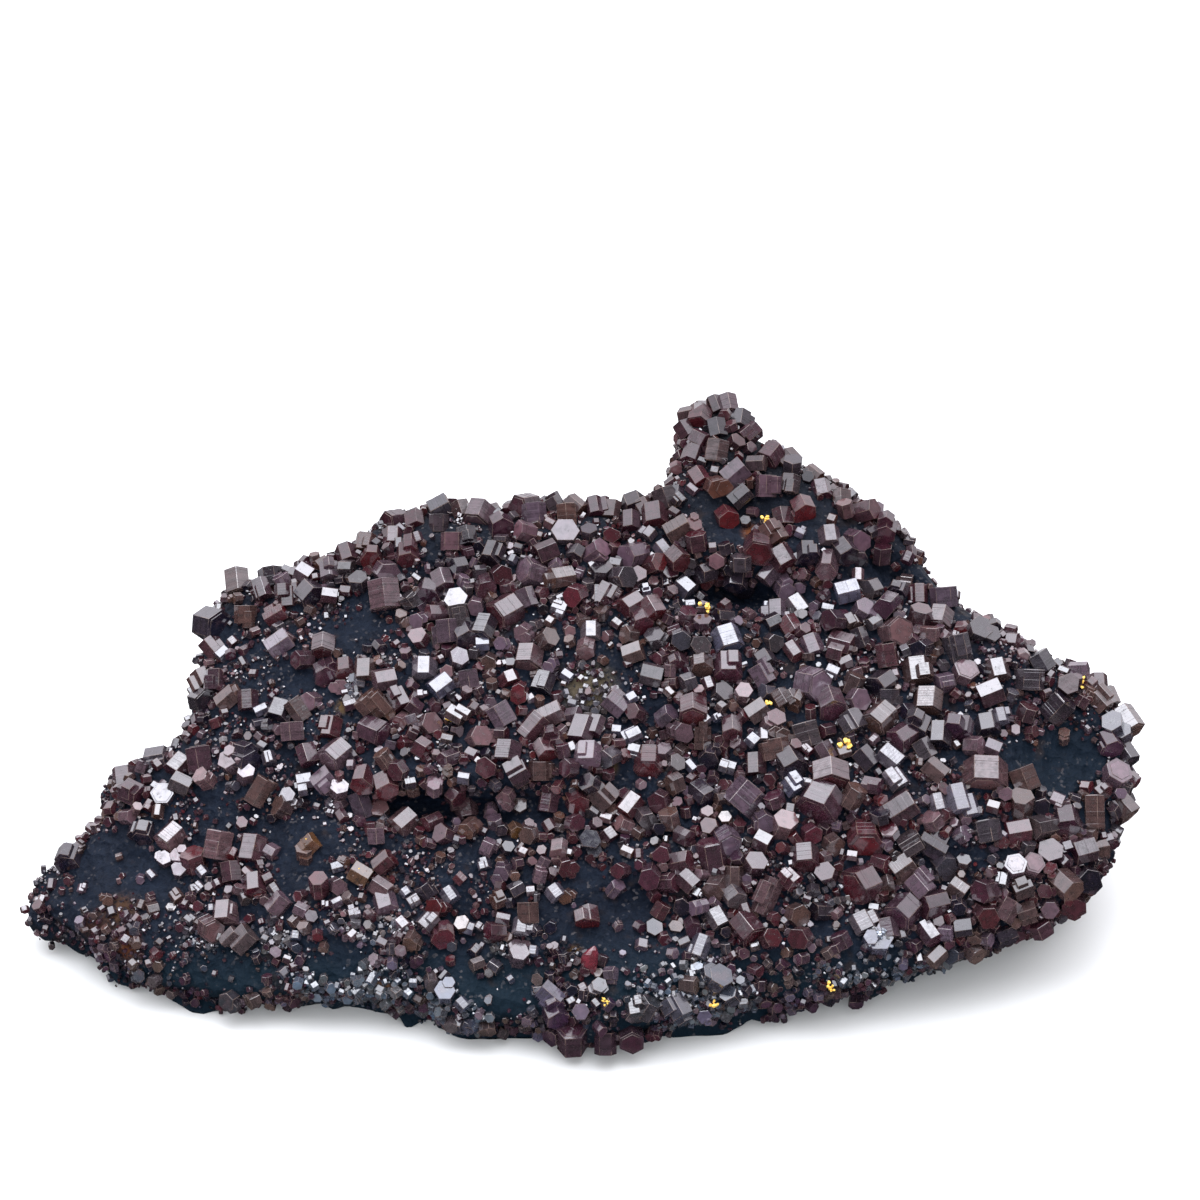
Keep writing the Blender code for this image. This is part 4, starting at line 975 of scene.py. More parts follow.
class Room:
    """The places already grown over, and how wide each is. Once it is closed nothing more is noted."""

    def __init__(self):
        self.places, self.widths = np.zeros((ROOM_FOR, 3)), np.zeros(ROOM_FOR)
        self.count, self.closed = 0, False

    def put(self, place, width):
        """Notes a crystal's place and width."""
        self.places[self.count], self.widths[self.count] = place, width
        self.count += 1

    def free(self, places, widths, closeness):
        """Which places lie farther from all that is grown than a share of both half widths."""
        gap = places[:, None] - self.places[None, : self.count]
        room = closeness * (self.widths[None, : self.count] + widths[:, None]) / 2
        return ((gap * gap).sum(axis=-1) > room * room).all(axis=1)

    def keep(self, places, widths, rank):
        """The numbers of the places that are free, up to the most of this rank. While the room is open each
        is taken as it is found. When it is closed they are tested together, some hundreds at a time."""
        if self.closed:
            starts = range(0, len(places), AT_A_TIME)
            blocks = [slice(start, start + AT_A_TIME) for start in starts]
            free = [self.free(places[block], widths[block], rank.closeness) for block in blocks]
            return np.flatnonzero(np.concatenate(free))[: rank.most]
        kept = []
        for k in range(len(places)):
            if len(kept) == rank.most or self.count == ROOM_FOR:
                break
            if self.free(places[k : k + 1], widths[k : k + 1], rank.closeness)[0]:
                self.put(places[k], widths[k])
                kept.append(k)
        return np.array(kept, int)


def uneven(draw, width, amount):
    """Reach of six sides for hexagons of about this width, each a little different."""
    return width[:, None] * math.cos(math.pi / 6) / 2 * (1 + draw.uniform(-amount, amount, (len(width), 6)))


def grown_axes(draw, normal):
    """Axes of crystals: six in ten lie and point forwards, two stand, and two grow straight out of the
    ground, as all do where it faces away from the front."""
    count = len(normal)
    kind = draw.random((count, 1))
    turn = math.radians(FORWARDS) + np.radians(draw.uniform(-EITHER_SIDE, EITHER_SIDE, count))
    lying = level_ways(turn, np.radians(draw.uniform(*LYING_RISE, count)))
    turn = draw.uniform(0, 2 * math.pi, count)
    standing = level_ways(turn, np.radians(draw.uniform(*STANDING_RISE, count)))
    outwards = unit(normal + draw.normal(0, OUTWARD_SCATTER, (count, 3)))
    axis = np.where(kind < LYING, lying, np.where(kind < STANDING, standing, outwards))
    away = normal @ upright(OUT_OF_FACE) < FACING_AWAY
    return np.where(away[:, None], outwards, axis)


def across_to(axis, way):
    """The axes turned just enough to stand at right angles to a way: what they have along it is taken off."""
    return unit(axis - (axis * way).sum(axis=-1, keepdims=True) * way)


def sunk_in(spot, out, axis, width, length, sunk):
    """Middles of crystals at places on the ground, with a share of their height over it sunk in. The height
    is the length's part and the width's part along the way out."""
    lean = np.abs((axis * out).sum(axis=-1))
    reach = 0.5 * (length * lean + width * np.sqrt(1 - lean * lean))
    return spot + out * (reach * (1 - 2 * sunk))[..., None]


def grown(ground, room, draw, rank, weight):
    """One rank of crystals on the ground, widest first, each clear of the floor and of the others."""
    spot, normal, picked = ground.draw(draw, rank.tries, weight)
    width = rank.widest * (rank.narrowest / rank.widest) ** (draw.random(rank.tries) ** WIDTH_BIAS)
    width *= FINE_WIDTH + COARSE_WIDTH * ground.coarse[picked] / ground.coarse.max()
    order = np.argsort(-width)
    spot, normal, width = spot[order], normal[order], width[order]
    axis = grown_axes(draw, normal)
    length = width * draw.uniform(*GROWN_LENGTH, rank.tries)
    middle = sunk_in(spot, normal, axis, width, length, draw.uniform(*rank.sunk, rank.tries))
    clear = np.flatnonzero(middle[:, 2] > 0.5 * np.hypot(width, length) + FLOOR_GAP)
    chosen = clear[room.keep(middle[clear], width[clear], rank)]
    return middle[chosen], axis[chosen], width[chosen], length[chosen]


# ---------------------------------------------------------------- finishes

CRYSTAL_IOR, WORN_IOR, ORE_IOR = 2.25, 1.72, 1.27
CRYSTAL_SPECULAR = (0.98, 0.97, 1.0, 1.0)

# The ore's colours: on the face, on the back, low on the front, its rust, and the pale colour of some facets,
# partly their own and partly a painted glint.
ORE_DARK, ORE_LIGHT = (0.0024, 0.0048, 0.0120, 1), (0.0105, 0.0168, 0.0320, 1)
BACK_DARK, BACK_LIGHT = (0.0045, 0.0048, 0.0068, 1), (0.0160, 0.0165, 0.0205, 1)
ORE_BLUE = (0.0035, 0.0130, 0.0230, 1)
RUST, FACET_GLINT = (0.026, 0.015, 0.012, 1), (0.14, 0.125, 0.13, 1)
# A bluer patch at the right: its place on the chart and its reach.
BLUE_PATCH, BLUE_REACH = (1060, 768), 16.0
# Sizes of the ore's marks, and how high its chips, grain and facets stand.
CLOUD_SIZE, GRAIN_SIZE, RUST_SIZE, SPARKLE_SIZE, FACET_SIZE, CHIP_SIZE = 9.0, 0.9, 5.0, 3.0, 0.42, 1.9
CHIP_HEIGHT, GRAIN_HEIGHT, FACET_HEIGHT = 0.9, 0.45, 0.14
# Where the ore turns blue low on the front and neutral at the back, in metres up the slope and back.
LOW_BLUE, FRONT_BLUE, TO_NEUTRAL = (-0.016, -0.006), (-0.020, -0.010), (0.008, 0.040)

# The crystals' colours besides their tints: the sides, the pale edges (partly wear, partly a painted
# highlight), haze and pits.
SIDE_TINT, EDGE_WEAR_AND_HIGHLIGHT = (0.052, 0.037, 0.047, 1), (0.20, 0.135, 0.11, 1)
HAZE, PIT = (0.13, 0.075, 0.085, 1), (0.020, 0.012, 0.012, 1)
MOTTLE_SIZE, HAZE_SIZE, PIT_SIZE, LINES_PER_MM = 1.1, 2.6, 0.40, 2.6
LINE_HEIGHT, MOTTLE_HEIGHT = 0.013, 0.016

YELLOW_DEEP, YELLOW_PALE = (1.0, 0.50, 0.05, 1), (1.0, 0.80, 0.22, 1)
YELLOW_GRAIN, YELLOW_HEIGHT, YELLOW_METAL = 0.5, 0.05, 0.35

# Stains by place on the chart, reach and colour.
STAINS = [
    (118, 912, 4.5, (0.060, 0.030, 0.018, 1)), (95, 925, 3.5, (0.040, 0.018, 0.014, 1)),
    (128, 945, 3.4, (0.11, 0.036, 0.016, 1)), (382, 988, 1.8, (0.18, 0.060, 0.020, 1)),
    (345, 705, 2.2, (0.10, 0.060, 0.026, 1)), (436, 632, 2.6, (0.12, 0.110, 0.085, 1)),
    (590, 690, 6.0, (0.09, 0.070, 0.045, 1)), (607, 767, 2.4, (0.10, 0.060, 0.026, 1)),
    (575, 953, 1.8, (0.10, 0.055, 0.026, 1)), (755, 533, 3.0, (0.14, 0.045, 0.016, 1)),
    (372, 1004, 4.0, (0.10, 0.065, 0.042, 1)),
]


class Value:
    """A socket of a material's nodes, with number expressions."""

    def __init__(self, shade, socket):
        self.shade, self.socket = shade, socket

    def math(self, operation, first, second):
        """A Math node's result of two numbers or sockets."""
        return self.shade.node("ShaderNodeMath", {"operation": operation}, {0: first, 1: second})

    def __add__(self, other):
        return self.math("ADD", self, other)

    def __sub__(self, other):
        return self.math("SUBTRACT", self, other)

    def __rsub__(self, other):
        return self.math("SUBTRACT", other, self)

    def __mul__(self, other):
        return self.math("MULTIPLY", self, other)

    __radd__, __rmul__ = __add__, __mul__

    def above(self, low, high):
        """0 below low, 1 above high, smooth between."""
        return self.shade.node(
            "ShaderNodeMapRange", {"interpolation_type": "SMOOTHSTEP"},
            {"Value": self, "From Min": low, "From Max": high},
        )


class Shade:
    """The nodes of one material, or of the surroundings, and the places that their patterns follow."""

    def __init__(self, owner, space="Object"):
        owner.use_nodes = True
        self.owner, self.tree = owner, owner.node_tree
        self.place = self.node("ShaderNodeTexCoord", {}, {}, space)

    def fill(self, node, sockets):
        """Links or sets sockets of a node."""
        for key, value in sockets.items():
            if isinstance(value, Value):
                self.tree.links.new(value.socket, node.inputs[key])
            else:
                node.inputs[key].default_value = value

    def node(self, kind, settings, sockets, output=0, stops=()):
        """A node of this kind: its settings and stops first, then the values or links of its sockets."""
        made = self.tree.nodes.new(kind)
        for key, value in settings.items():
            setattr(made, key, value)
        for position, colour in stops:
            held = [stop for stop in made.color_ramp.elements if stop.position == position]
            stop = held[0] if held else made.color_ramp.elements.new(position)
            stop.color = colour
        self.fill(made, sockets)
        return Value(self, made.outputs[output])

    def noise(self, size, detail=3.0, rough=0.55):
        """Cloudy noise between 0 and 1 whose blots are about this many millimetres across."""
        return self.node(
            "ShaderNodeTexNoise", {},
            {"Vector": self.place, "Scale": 1 / (size * MM), "Detail": detail, "Roughness": rough},
        )

    def cells(self, size, output):
        """Cells about this many millimetres across: the distance from the middle or a colour of each."""
        sockets = {"Vector": self.place, "Scale": 1 / (size * MM)}
        return self.node("ShaderNodeTexVoronoi", {}, sockets, output)

    def part(self, vector, number):
        """One of a vector's three numbers."""
        return self.node("ShaderNodeSeparateXYZ", {}, {0: vector}, number)

    def attribute(self, name, output="Fac"):
        """What attach kept under this name."""
        return self.node("ShaderNodeAttribute", {"attribute_name": name}, {}, output)

    def blend(self, share, first, second):
        """A colour that goes from the first to the second as the share goes from 0 to 1."""
        return self.node("ShaderNodeMix", {"data_type": "RGBA"}, {0: share, 6: first, 7: second}, 2)

    def scaled(self, colour, share):
        """A colour times a number."""
        return self.node("ShaderNodeVectorMath", {"operation": "SCALE"}, {0: colour, "Scale": share})

    def near(self, point, reach):
        """1 near a level point in millimetres, falling to 0 at this reach."""
        target = tuple(coordinate * MM for coordinate in point)
        sockets = {0: self.place, 1: target}
        away = self.node("ShaderNodeVectorMath", {"operation": "DISTANCE"}, sockets, "Value")
        return 1 - away.above(0.3 * reach * MM, reach * MM)

    def bumps(self, *layers):
        """The way out of the surface, tipped by one layer of height after another, each with its depth."""
        under = {}
        for height, depth in layers:
            sockets = {"Height": height, "Distance": depth * MM, "Strength": 1.0, **under}
            under = {"Normal": self.node("ShaderNodeBump", {}, sockets)}
        return under

    def finish(self, colour, roughness, normal, **rest):
        """The material, with what its shader takes."""
        shader = self.tree.nodes["Principled BSDF"]
        self.fill(shader, {"Base Color": colour, "Roughness": roughness, **normal, **rest})
        return self.owner


def ore_finish(samples):
    """Charcoal manganese ore: a sugary grain of tiny facets, bluish low on the front and at the right and
    neutral at the back, with rust, stains and chips. Some facets are pale and glossier, their pale colour
    partly a painted glint."""
    shade = Shade(bpy.data.materials.new("manganese_ore"))
    back, height = shade.part(shade.place, 1), shade.part(shade.place, 2)
    up_slope = back * math.sin(LEAN) + height * math.cos(LEAN)
    cloud, grain = shade.noise(CLOUD_SIZE, 2.0), shade.noise(GRAIN_SIZE, 4.0, 0.7)
    low = 1 - (up_slope + cloud * 0.006).above(*LOW_BLUE)
    front = 1 - back.above(*FRONT_BLUE)
    sugar = (cloud * 0.5 + grain * 0.6).above(0.35, 0.80)
    bluish, neutral = shade.blend(sugar, ORE_DARK, ORE_LIGHT), shade.blend(sugar, BACK_DARK, BACK_LIGHT)
    colour = shade.blend(back.above(*TO_NEUTRAL) * 0.85, bluish, neutral)
    colour = shade.blend(low * front * 0.85, colour, ORE_BLUE)
    blue_patch = upright(nearest(samples, *BLUE_PATCH)[0])
    colour = shade.blend(shade.near(blue_patch, BLUE_REACH) * 0.4, colour, ORE_BLUE)
    rusty = shade.noise(RUST_SIZE, 2.0, 0.6).above(0.60, 0.74)
    colour = shade.blend(rusty * 0.55, colour, RUST)
    for across, down, reach, stain in STAINS:
        point = upright(nearest(samples, across, down)[0])
        colour = shade.blend(shade.near(point, reach) * grain.above(0.36, 0.52), colour, stain)
    # Some facets are made pale and glossier: the pale colour is partly a painted glint.
    facet = shade.part(shade.cells(FACET_SIZE, "Color"), 0)
    bright = facet.above(0.86, 0.97) * shade.noise(SPARKLE_SIZE).above(0.42, 0.62)
    colour = shade.blend(bright * 0.40, colour, FACET_GLINT)
    roughness = 0.50 + 0.35 * grain - 0.30 * bright
    chips = shade.cells(CHIP_SIZE, "Distance")
    normal = shade.bumps((chips, CHIP_HEIGHT), (grain, GRAIN_HEIGHT), (facet, FACET_HEIGHT))
    return shade.finish(colour, roughness, normal, IOR=ORE_IOR)


def crystal_finish(name, ior):
    """Glossy crystal: the faces are clouded, lined and pitted, the sides browner than the ends, and the edges
    pale here and there, partly as wear and partly as a painted highlight."""
    shade = Shade(bpy.data.materials.new(name))
    tint, edge = shade.attribute("tint", "Color"), shade.attribute("edge")
    end, along_axis = shade.attribute("end"), shade.attribute("along")
    mottle, cloud = shade.noise(MOTTLE_SIZE, 3.0, 0.6), shade.noise(HAZE_SIZE, 2.0, 0.6)
    sides = shade.blend(0.35, shade.scaled(tint, 0.90), SIDE_TINT)
    colour = shade.blend(end, sides, tint)
    colour = shade.blend(mottle.above(0.30, 0.72) * 0.65, colour, shade.scaled(colour, 0.40))
    colour = shade.blend(cloud.above(0.52, 0.72) * (0.04 + 0.22 * end), colour, HAZE)
    pits = shade.noise(PIT_SIZE, 1.0, 0.5).above(0.67, 0.72)
    colour = shade.blend(pits * 0.7, colour, PIT)
    sockets = {"W": along_axis, "Scale": LINES_PER_MM, "Detail": 2.0}
    lines = shade.node("ShaderNodeTexNoise", {"noise_dimensions": "1D"}, sockets)
    banded = lines.above(0.50, 0.56) * (1 - end) * mottle.above(0.35, 0.55)
    colour = shade.blend(banded * 0.55, colour, shade.scaled(colour, 0.45))
    # Pale edges here and there: partly wear, partly a painted highlight.
    colour = shade.blend(edge * cloud.above(0.38, 0.60) * 0.55, colour, EDGE_WEAR_AND_HIGHLIGHT)
    roughness = 0.09 + 0.24 * mottle.above(0.42, 0.80) + 0.25 * pits + 0.10 * edge
    normal = shade.bumps((lines, LINE_HEIGHT), (mottle, MOTTLE_HEIGHT))
    return shade.finish(colour, roughness, normal, IOR=ior, **{"Specular Tint": CRYSTAL_SPECULAR})


def gold_finish():
    """Bright yellow metallic grains."""
    shade = Shade(bpy.data.materials.new("yellow_grains"))
    grain = shade.noise(YELLOW_GRAIN, 2.0, 0.5)
    colour = shade.blend(grain, YELLOW_DEEP, YELLOW_PALE)
    normal = shade.bumps((grain, YELLOW_HEIGHT))
    return shade.finish(colour, 0.35 + 0.2 * grain, normal, Metallic=YELLOW_METAL)


# ---------------------------------------------------------------- the crystals

# The way a face has to look to mirror the lamp to the viewer, in the leaning frame.
GLINT_WAY = np.array([0.0, 0.454, 0.891])
# Large pieces and others above this level on the crest, and two more, are of the duller, worn crystal.
CREST_LEVEL = 47.0
DULL = ("right_6", "right_2")
# How much of its own size a listed crystal takes up, and how uneven it is. For the little ones: the share
# that is sunk, the length as a share of the width, and how far a cap is turned from the mirroring way.
LISTED_ROOM, LISTED_UNEVEN = 1.02, 0.10
LITTLE_SUNK, LITTLE_LENGTH, CAP_SCATTER = 0.325, (0.65, 1.0), 0.12

# Grown crystals: how uneven, how many glint and how exactly, and how many more do where the growth is
# frosted. There, up to a width, most have its pale look.
GROWN_UNEVEN, GLINTING, GLINT_SCATTER = 0.14, 0.11, 0.09
FROSTED_GLINT, FROSTED_SHARE, FROSTED_WIDEST = 2, 0.75, 2.2
# The smaller crystal beside one: how often, its shares of the width and length, how far off to the side and
# along as shares of them, and how uneven.
PAIRED, LISTED_PAIRS = 0.35, 2
PAIR_WIDTH, PAIR_LENGTH, PAIR_ASIDE = (0.5, 0.85), (0.5, 0.95), (0.28, 0.48)
PAIR_ALONG, PAIR_UNEVEN = 0.32, 0.12

# A fan of white blades: its place, how many, and their turns, rises, lengths and widths, how far their foot
# stands off the ground and how far each reaches past it, and how uneven thin crystals are.
BURST, BLADES = (877, 941), 26
BLADE_TURN, BLADE_RISE, BLADE_LENGTH, BLADE_WIDTH = (-20, 200), (5, 60), (1.6, 3.0), (0.3, 0.6)
BLADE_LIFT, BLADE_ALONG, THIN_UNEVEN = 0.9, 0.4, 0.3

# The flame-red crystal: its place, size, way, lift, bow and flatness, where its ends are cut off, its rings
# and their sides, and how low and how full its belly is.
FLAME, FLAME_WIDTH, FLAME_LENGTH = (598, 965), 2.7, 5.0
FLAME_WAY, FLAME_LIFT, FLAME_BOW, FLAME_FLAT = (-0.05, 0.99, 0.12), 1.7, 0.35, 0.6
FLAME_ENDS, FLAME_RINGS, FLAME_SIDES = (0.04, 0.98), 9, 8
FLAME_BELLY, FLAME_FULL = 1.3, 0.8

# Yellow grains: how many in a heap, how it is lifted, spread and flattened, how they lean, and their size.
GOLD_GRAINS, GOLD_LIFT, GOLD_SPREAD, GOLD_FLAT, GOLD_LEAN = 9, 1.8, 0.30, 0.4, 0.35
GOLD_SHARE, GOLD_THICK = (0.22, 0.50), 0.8


def listed_frames(samples, rows, sunk):
    """Crystals of a table in the leaning frame: middle, axis, spin, width and length of each."""
    frames = []
    for across, down, width, length, turn, rise, spin, _ in rows:
        spot, out = nearest(samples, across, down)
        axis = level_ways(math.radians(turn), math.radians(rise))
        middle = sunk_in(spot, out, axis, width, length, sunk)
        frames.append((middle, axis, math.radians(spin), width, length))
    return frames


def large_pieces(samples, draw, room, fresh, worn):
    """The large crystals, a piece to each name in the table."""
    clusters = {}
    for name, *row in LARGE:
        clusters.setdefault(name, []).append(row)
    for name, rows in clusters.items():
        frames = listed_frames(samples, rows, LARGE_SUNK)
        material = worn if frames[0][0][1] > CREST_LEVEL or name in DULL else fresh
        piece = large_piece("large_" + name, frames, draw, [row[-1] for row in rows], material)
        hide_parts("crystal_" + name)
        take_up(room, frames)


def take_up(room, frames):
    """Notes the room that listed crystals take."""
    for middle, _, _, width, length in frames:
        room.put(upright(middle), LISTED_ROOM * max(width, length))


def little_frames(samples, draw):
    """Frames of the little crystals, whose ways are drawn: caps and frosted ones mirror the lamp."""
    frames = []
    for across, down, width, look in LITTLE:
        spot, out = nearest(samples, across, down)
        axis = leaning(grown_axes(draw, upright(out)[None]))[0]
        spin = draw.uniform(0, math.pi / 3)
        if look.isupper():
            axis = unit(GLINT_WAY + draw.normal(0, CAP_SCATTER, 3))
        elif look == "w":
            axis = across_to(axis, GLINT_WAY)
            spin = spin_to(axis, GLINT_WAY)
        length = width * draw.uniform(*LITTLE_LENGTH)
        frames.append((sunk_in(spot, out, axis, width, length, LITTLE_SUNK), axis, spin, width, length))
    return frames


def spin_to(axis, way):
    """The spin that turns one side of a crystal to a way square to its axis."""
    side, other = (column[0] for column in frame_axes(axis[None]))
    return math.atan2(way @ other, way @ side) - math.pi / 6


def listed_crystals(samples, draw, room):
    """The crystals of the other tables, with smaller ones beside some of them, and the white blades."""
    store = Crystals()
    for rows, frames in (
        (MIDDLE, listed_frames(samples, MIDDLE, MIDDLE_SUNK)),
        (SLIM, listed_frames(samples, SLIM, MIDDLE_SUNK)),
        (LITTLE, little_frames(samples, draw)),
    ):
        take_up(room, frames)
        middle, axis, side, width, length = level_arrays(frames)
        tint = tints(draw, [row[-1] for row in rows])
        store.add(middle, axis, side, uneven(draw, width, LISTED_UNEVEN), length, tint)
        for _ in range(LISTED_PAIRS):
            companions(draw, store, middle, axis, side, width, length, tint)
    star_burst(samples, draw, store)
    return store


def companions(draw, store, middle, axis, side, width, length, tint):
    """Adds a smaller crystal, lined up with it, to the side of some of the crystals."""
    count = len(width)
    chosen = draw.random(count) < PAIRED
    turn = (draw.integers(0, 6, count) + 0.5) * math.pi / 3
    away = np.cos(turn)[:, None] * side + np.sin(turn)[:, None] * np.cross(axis, side)
    share = draw.uniform(*PAIR_WIDTH, count)
    shift = away * (width * draw.uniform(*PAIR_ASIDE, count))[:, None]
    shift += axis * (length * draw.uniform(-PAIR_ALONG, PAIR_ALONG, count))[:, None]
    long = length * draw.uniform(*PAIR_LENGTH, count)
    reach = uneven(draw, (width * share)[chosen], PAIR_UNEVEN)
    store.add((middle + shift)[chosen], axis[chosen], side[chosen], reach, long[chosen], tint[chosen])


def spread(ground, room, draw, store, rank, weight, looks=LOOKS):
    """Grows a rank of crystals over free ground. Some glint, and some have a smaller one beside them."""
    middle, axis, width, length = grown(ground, room, draw, rank, weight)
    count = len(width)
    frosted = on_patches(middle, FROSTED)
    glint = draw.random((count, 1)) < GLINTING * (1 + FROSTED_GLINT * frosted[:, None])
    way = unit(upright(GLINT_WAY) + draw.normal(0, GLINT_SCATTER, (count, 3)))
    axis = np.where(glint, across_to(axis, way), axis)
    side = np.where(glint, way, spun(axis, draw.uniform(0, math.pi / 3, count)))
    picked = draw.choice(list(looks), count)
    pale = (draw.random(count) < frosted * FROSTED_SHARE) & (width < FROSTED_WIDEST)
    tint = tints(draw, np.where(pale, "f", picked))
    store.add(middle, axis, side, uneven(draw, width, GROWN_UNEVEN), length, tint)
    companions(draw, store, middle, axis, side, width, length, tint)


def growth(ground):
    """Where each rank grows, as weights over the ground: less on bare and thin patches and down the wall,
    with a scatter of crystals all over the back."""
    patchy, clumped = ground.patches(*PATCHY), ground.patches(*CLUMPED)
    scatter = SCATTER * (ground.depth > 0) * ground.patches(*SCATTERED)
    thin = on_patches(ground.middles, THIN) * ground.on_face
    open_ground = (1 - BARE_LOSS * ground.bare) * (1 - THIN_LOSS * thin)
    larger = (np.clip(1 - ground.depth / LARGER_DOWN, 0.0, 1.0) + scatter) * open_ground
    faces_front = ground.normals @ upright(OUT_OF_FACE) > FACING_FRONT
    smaller = np.clip(1 - ground.depth / np.where(faces_front, FRONT_DOWN, BACK_DOWN), 0.0, 1.0)
    piled = 1 + PILED * on_patches(ground.middles, FROSTED) * ground.on_face
    fine_ground = (1 - FINE_BARE_LOSS * ground.bare) * (1 - FINE_THIN_LOSS * thin)
    return {
        COARSE: larger * (ground.inland > COARSE_INLAND) * ground.coarse ** COARSE_BIAS * patchy,
        COMMON: larger * (0.25 + ground.coarse) * patchy,
        SMALL: (smaller + scatter) * open_ground * (0.3 + 0.7 * patchy) * piled,
        FINE: (smaller + 2 * scatter) * fine_ground * clumped * piled,
    }


def grow_crystals(samples, ground, draw, fresh, worn):
    """All the crystals, from the largest to the finest, so that each rank finds the room that is left."""
    room, weights = Room(), growth(ground)
    large_pieces(samples, draw, room, fresh, worn)
    larger = listed_crystals(samples, draw, room)
    for rank in (COARSE, COMMON):
        spread(ground, room, draw, larger, rank, weights[rank])
    for part, here, material in (
        ("left", lambda right, up: (right < 0) & (up <= CREST_LEVEL), fresh),
        ("right", lambda right, up: (right >= 0) & (up <= CREST_LEVEL), fresh),
        ("crest", lambda right, up: up > CREST_LEVEL, worn),
    ):
        block_crystals("crystals_" + part, larger.arrays(here), material)
    small = Crystals()
    spread(ground, room, draw, small, SMALL, weights[SMALL])
    keen_crystals("small_crystals", small.arrays(), fresh)
    room.closed = True
    for half, here in (("left", ground.right < 0), ("right", ground.right >= 0)):
        fine = Crystals()
        spread(ground, room, draw, fine, FINE, weights[FINE] * here, FINE_LOOKS)
        plain_crystals("fine_crystals_" + half, fine.arrays(), fresh)


def star_burst(samples, draw, store):
    """Thin white blades fanned out from one place."""
    spot, out = nearest(samples, *BURST)
    turn = np.radians(draw.uniform(*BLADE_TURN, BLADES))
    axis = level_ways(turn, np.radians(draw.uniform(*BLADE_RISE, BLADES)))
    length = draw.uniform(*BLADE_LENGTH, BLADES)
    middle = spot + out * BLADE_LIFT + axis * length[:, None] * BLADE_ALONG
    side = spun(axis, draw.uniform(0, math.pi / 3, BLADES))
    reach = uneven(draw, draw.uniform(*BLADE_WIDTH, BLADES), THIN_UNEVEN)
    store.add(upright(middle), upright(axis), upright(side), reach, length, tints(draw, "b" * BLADES))


def gold_piece(samples, draw, material):
    """Bright yellow grains: a few flat little prisms heaped at each place."""
    store, tint = Crystals(), np.ones((GOLD_GRAINS, 3))
    for across, down, width in GOLD:
        spot, out = nearest(samples, across, down)
        heap = draw.normal(0, GOLD_SPREAD * width, (GOLD_GRAINS, 3)) * [1, 1, GOLD_FLAT]
        axis = unit(GLINT_WAY + draw.normal(0, GOLD_LEAN, (GOLD_GRAINS, 3)))
        side = spun(axis, draw.uniform(0, math.pi / 3, GOLD_GRAINS))
        wide = width * draw.uniform(*GOLD_SHARE, GOLD_GRAINS)
        reach = uneven(draw, wide, THIN_UNEVEN)
        middle = spot + out * GOLD_LIFT + heap
        store.add(upright(middle), upright(axis), upright(side), reach, wide * GOLD_THICK, tint)
    plain_crystals("yellow_grains", store.arrays(), material)


def flame_piece(samples, draw, material):
    """A leaf-shaped red crystal: rings that swell and shrink along its length by half a wave, bowed to one
    side by another."""
    spot, out = nearest(samples, *FLAME)
    share = np.linspace(*FLAME_ENDS, FLAME_RINGS)
    turn = np.arange(FLAME_SIDES) * 2 * math.pi / FLAME_SIDES
    reach = FLAME_WIDTH / 2 * np.sin(math.pi * share ** FLAME_BELLY)[:, None] ** FLAME_FULL
    bow = FLAME_WIDTH * FLAME_BOW * np.sin(math.pi * share)[:, None]
    rings = np.stack([reach * np.cos(turn) - bow, FLAME_FLAT * reach * np.sin(turn)], axis=-1)
    axis = unit(upright(np.array([FLAME_WAY])))
    side = across_to(upright(np.array([[1.0, 0.0, 0.0]])), axis)
    heights = (share - 0.5)[None] * FLAME_LENGTH
    arrays = (upright(spot + out * FLAME_LIFT)[None], axis, side, None, None, tints(draw, "e"))
    stacked("red_flame", rings[None], heights, arrays, [no_sides] * (FLAME_RINGS - 1), material)


# ---------------------------------------------------------------- floor, light and camera

FLOOR_EDGE, FLOOR_LEVEL, FLOOR_TONE, FLOOR_ROUGH, FLOOR_IOR = 20000.0, -0.05, 0.72, 0.9, 1.3
# The pale side of the surroundings, how bright they are from its far side (0) to it (1), and their tint.
BRIGHT_WAY = (0.0, 0.78, 0.62)
WORLD_STEPS = [(0.0, 0.035), (0.24, 0.07), (0.48, 1.30), (1.0, 1.50)]
WORLD_TINT = np.array([1.00, 0.98, 1.04])
SKY_FILL, SKY_SPREAD = 2.6, 150
# Lamps: place in metres, turn in degrees, size, power and whether faces mirror it.
LAMPS = [
    ("overhead", (-0.05, 0.02, 0.75), (0, 0, 0), (0.38, 0.28), 1.05, True),
    ("broad", (-0.10, 0.05, 0.80), (0, -6, 0), (1.3, 0.9), 5.5, True),
    ("front fill", (-0.10, -0.95, 0.55), (60, 0, -6), (1.4, 0.7), 6.0, False),
]
LAMP_TINT = (0.92, 0.97, 1.03)
LENS, SENSOR, NEAREST_SEEN, FARTHEST_SEEN = 75.0, 36.0, 0.01, 50.0


def make_floor():
    """A wide level floor just under the foot."""
    corners = np.array([[-1, -1, 0], [1, -1, 0], [1, 1, 0], [-1, 1, 0]]) * FLOOR_EDGE + [0, 0, FLOOR_LEVEL]
    shade = Shade(bpy.data.materials.new("floor"))
    material = shade.finish((FLOOR_TONE, FLOOR_TONE, FLOOR_TONE, 1), FLOOR_ROUGH, {}, IOR=FLOOR_IOR)
    floor = mesh_object("floor", corners, [[0, 1, 2, 3]], material)
    floor.visible_glossy = False


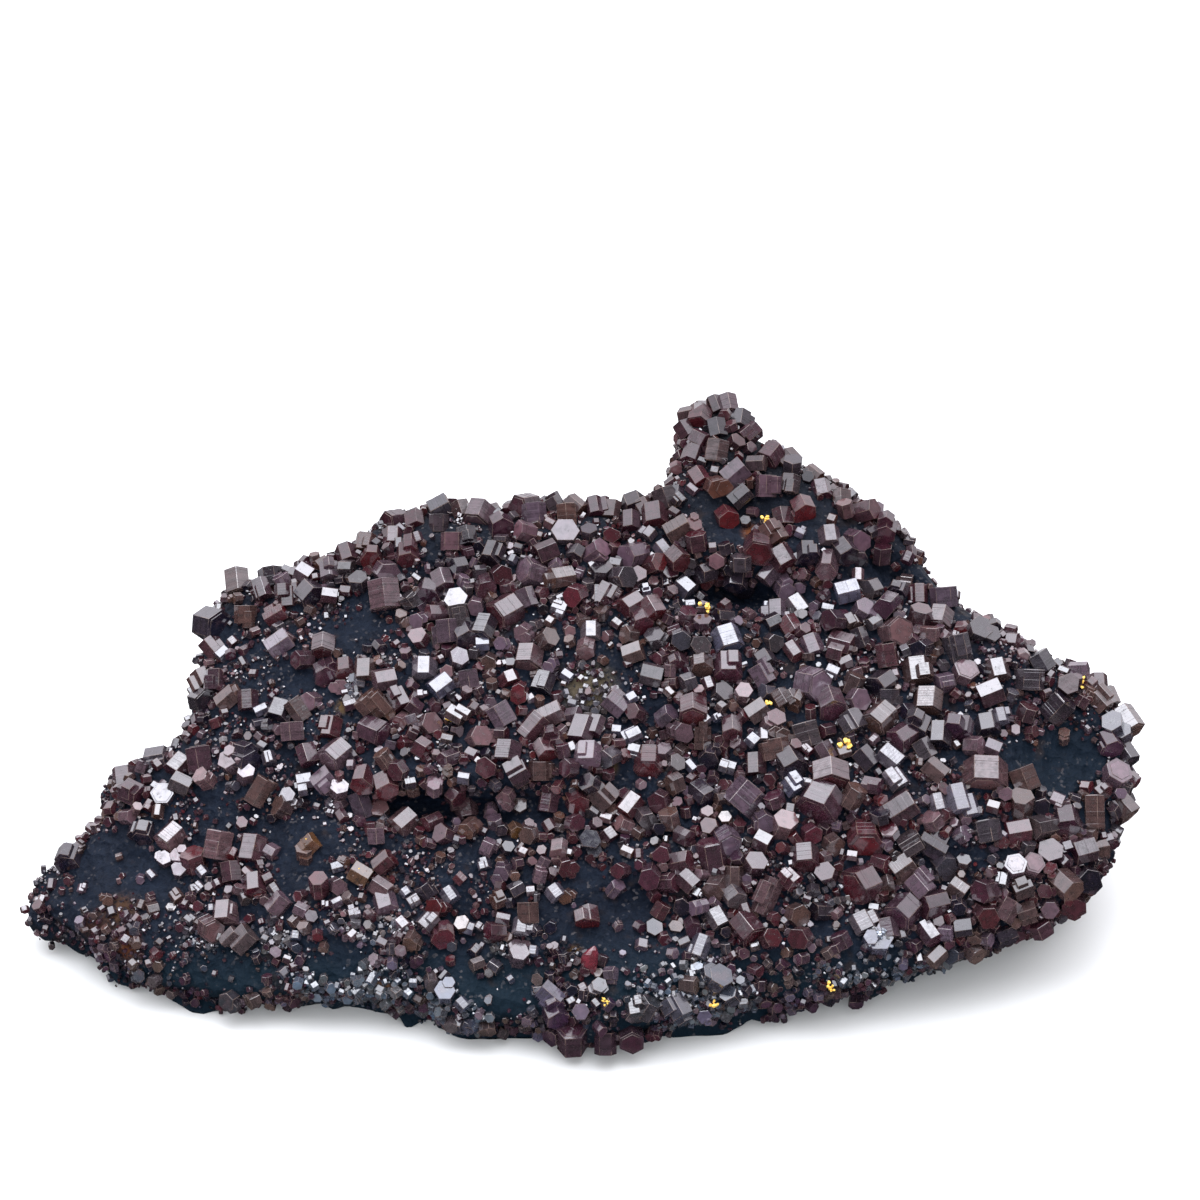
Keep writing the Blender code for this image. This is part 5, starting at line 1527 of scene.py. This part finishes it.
def make_surroundings():
    """Surroundings that are pale behind and overhead and darken towards the front, by how far a way leans to
    the pale side."""
    world = bpy.data.worlds.new("studio")
    bpy.context.scene.world = world
    shade = Shade(world, "Generated")
    sockets = {0: shade.place, 1: BRIGHT_WAY}
    lean = shade.node("ShaderNodeVectorMath", {"operation": "DOT_PRODUCT"}, sockets, "Value")
    stops = [(position, (*(tone * WORLD_TINT), 1)) for position, tone in WORLD_STEPS]
    colour = shade.node("ShaderNodeValToRGB", {}, {0: lean}, stops=stops)
    shade.fill(shade.tree.nodes["Background"], {"Color": colour})


def make_lamps():
    """A soft light from the whole sky, and the lamps."""
    sky = bpy.data.lights.new("sky", "SUN")
    sky.energy, sky.angle = SKY_FILL, math.radians(SKY_SPREAD)
    item = in_scene("sky", sky)
    item.location = (0.0, 0.0, 1.0)
    item.visible_glossy = False
    for name, place, turn, size, power, mirrored in LAMPS:
        lamp = bpy.data.lights.new(name, "AREA")
        lamp.shape = "RECTANGLE"
        lamp.size, lamp.size_y = size
        lamp.energy = power
        lamp.color = LAMP_TINT
        item = in_scene(name, lamp)
        item.location = place
        item.rotation_euler = [math.radians(angle) for angle in turn]
        item.visible_glossy = mirrored


def make_camera():
    """A long lens at the chart's eye, looking square on at the leaning face."""
    data = bpy.data.cameras.new("camera")
    data.lens, data.sensor_width = LENS, SENSOR
    data.clip_start, data.clip_end = NEAREST_SEEN, FARTHEST_SEEN
    camera = in_scene("camera", data)
    camera.location = upright(CHART_EYE) * MM
    camera.rotation_euler = (math.radians(90) - LEAN, 0.0, 0.0)
    bpy.context.scene.camera = camera


def main():
    """The whole scene. The crystals' draws follow one another, so their order is kept."""
    bpy.context.scene.view_settings.view_transform = "Standard"
    samples, draw = surface_samples(), np.random.default_rng(SEED)
    ground = rock_piece(ore_finish(samples))
    fresh = crystal_finish("vanadinite", CRYSTAL_IOR)
    worn = crystal_finish("worn_vanadinite", WORN_IOR)
    grow_crystals(samples, ground, draw, fresh, worn)
    gold_piece(samples, draw, gold_finish())
    flame_piece(samples, draw, fresh)
    make_floor()
    make_surroundings()
    make_lamps()
    make_camera()


main()
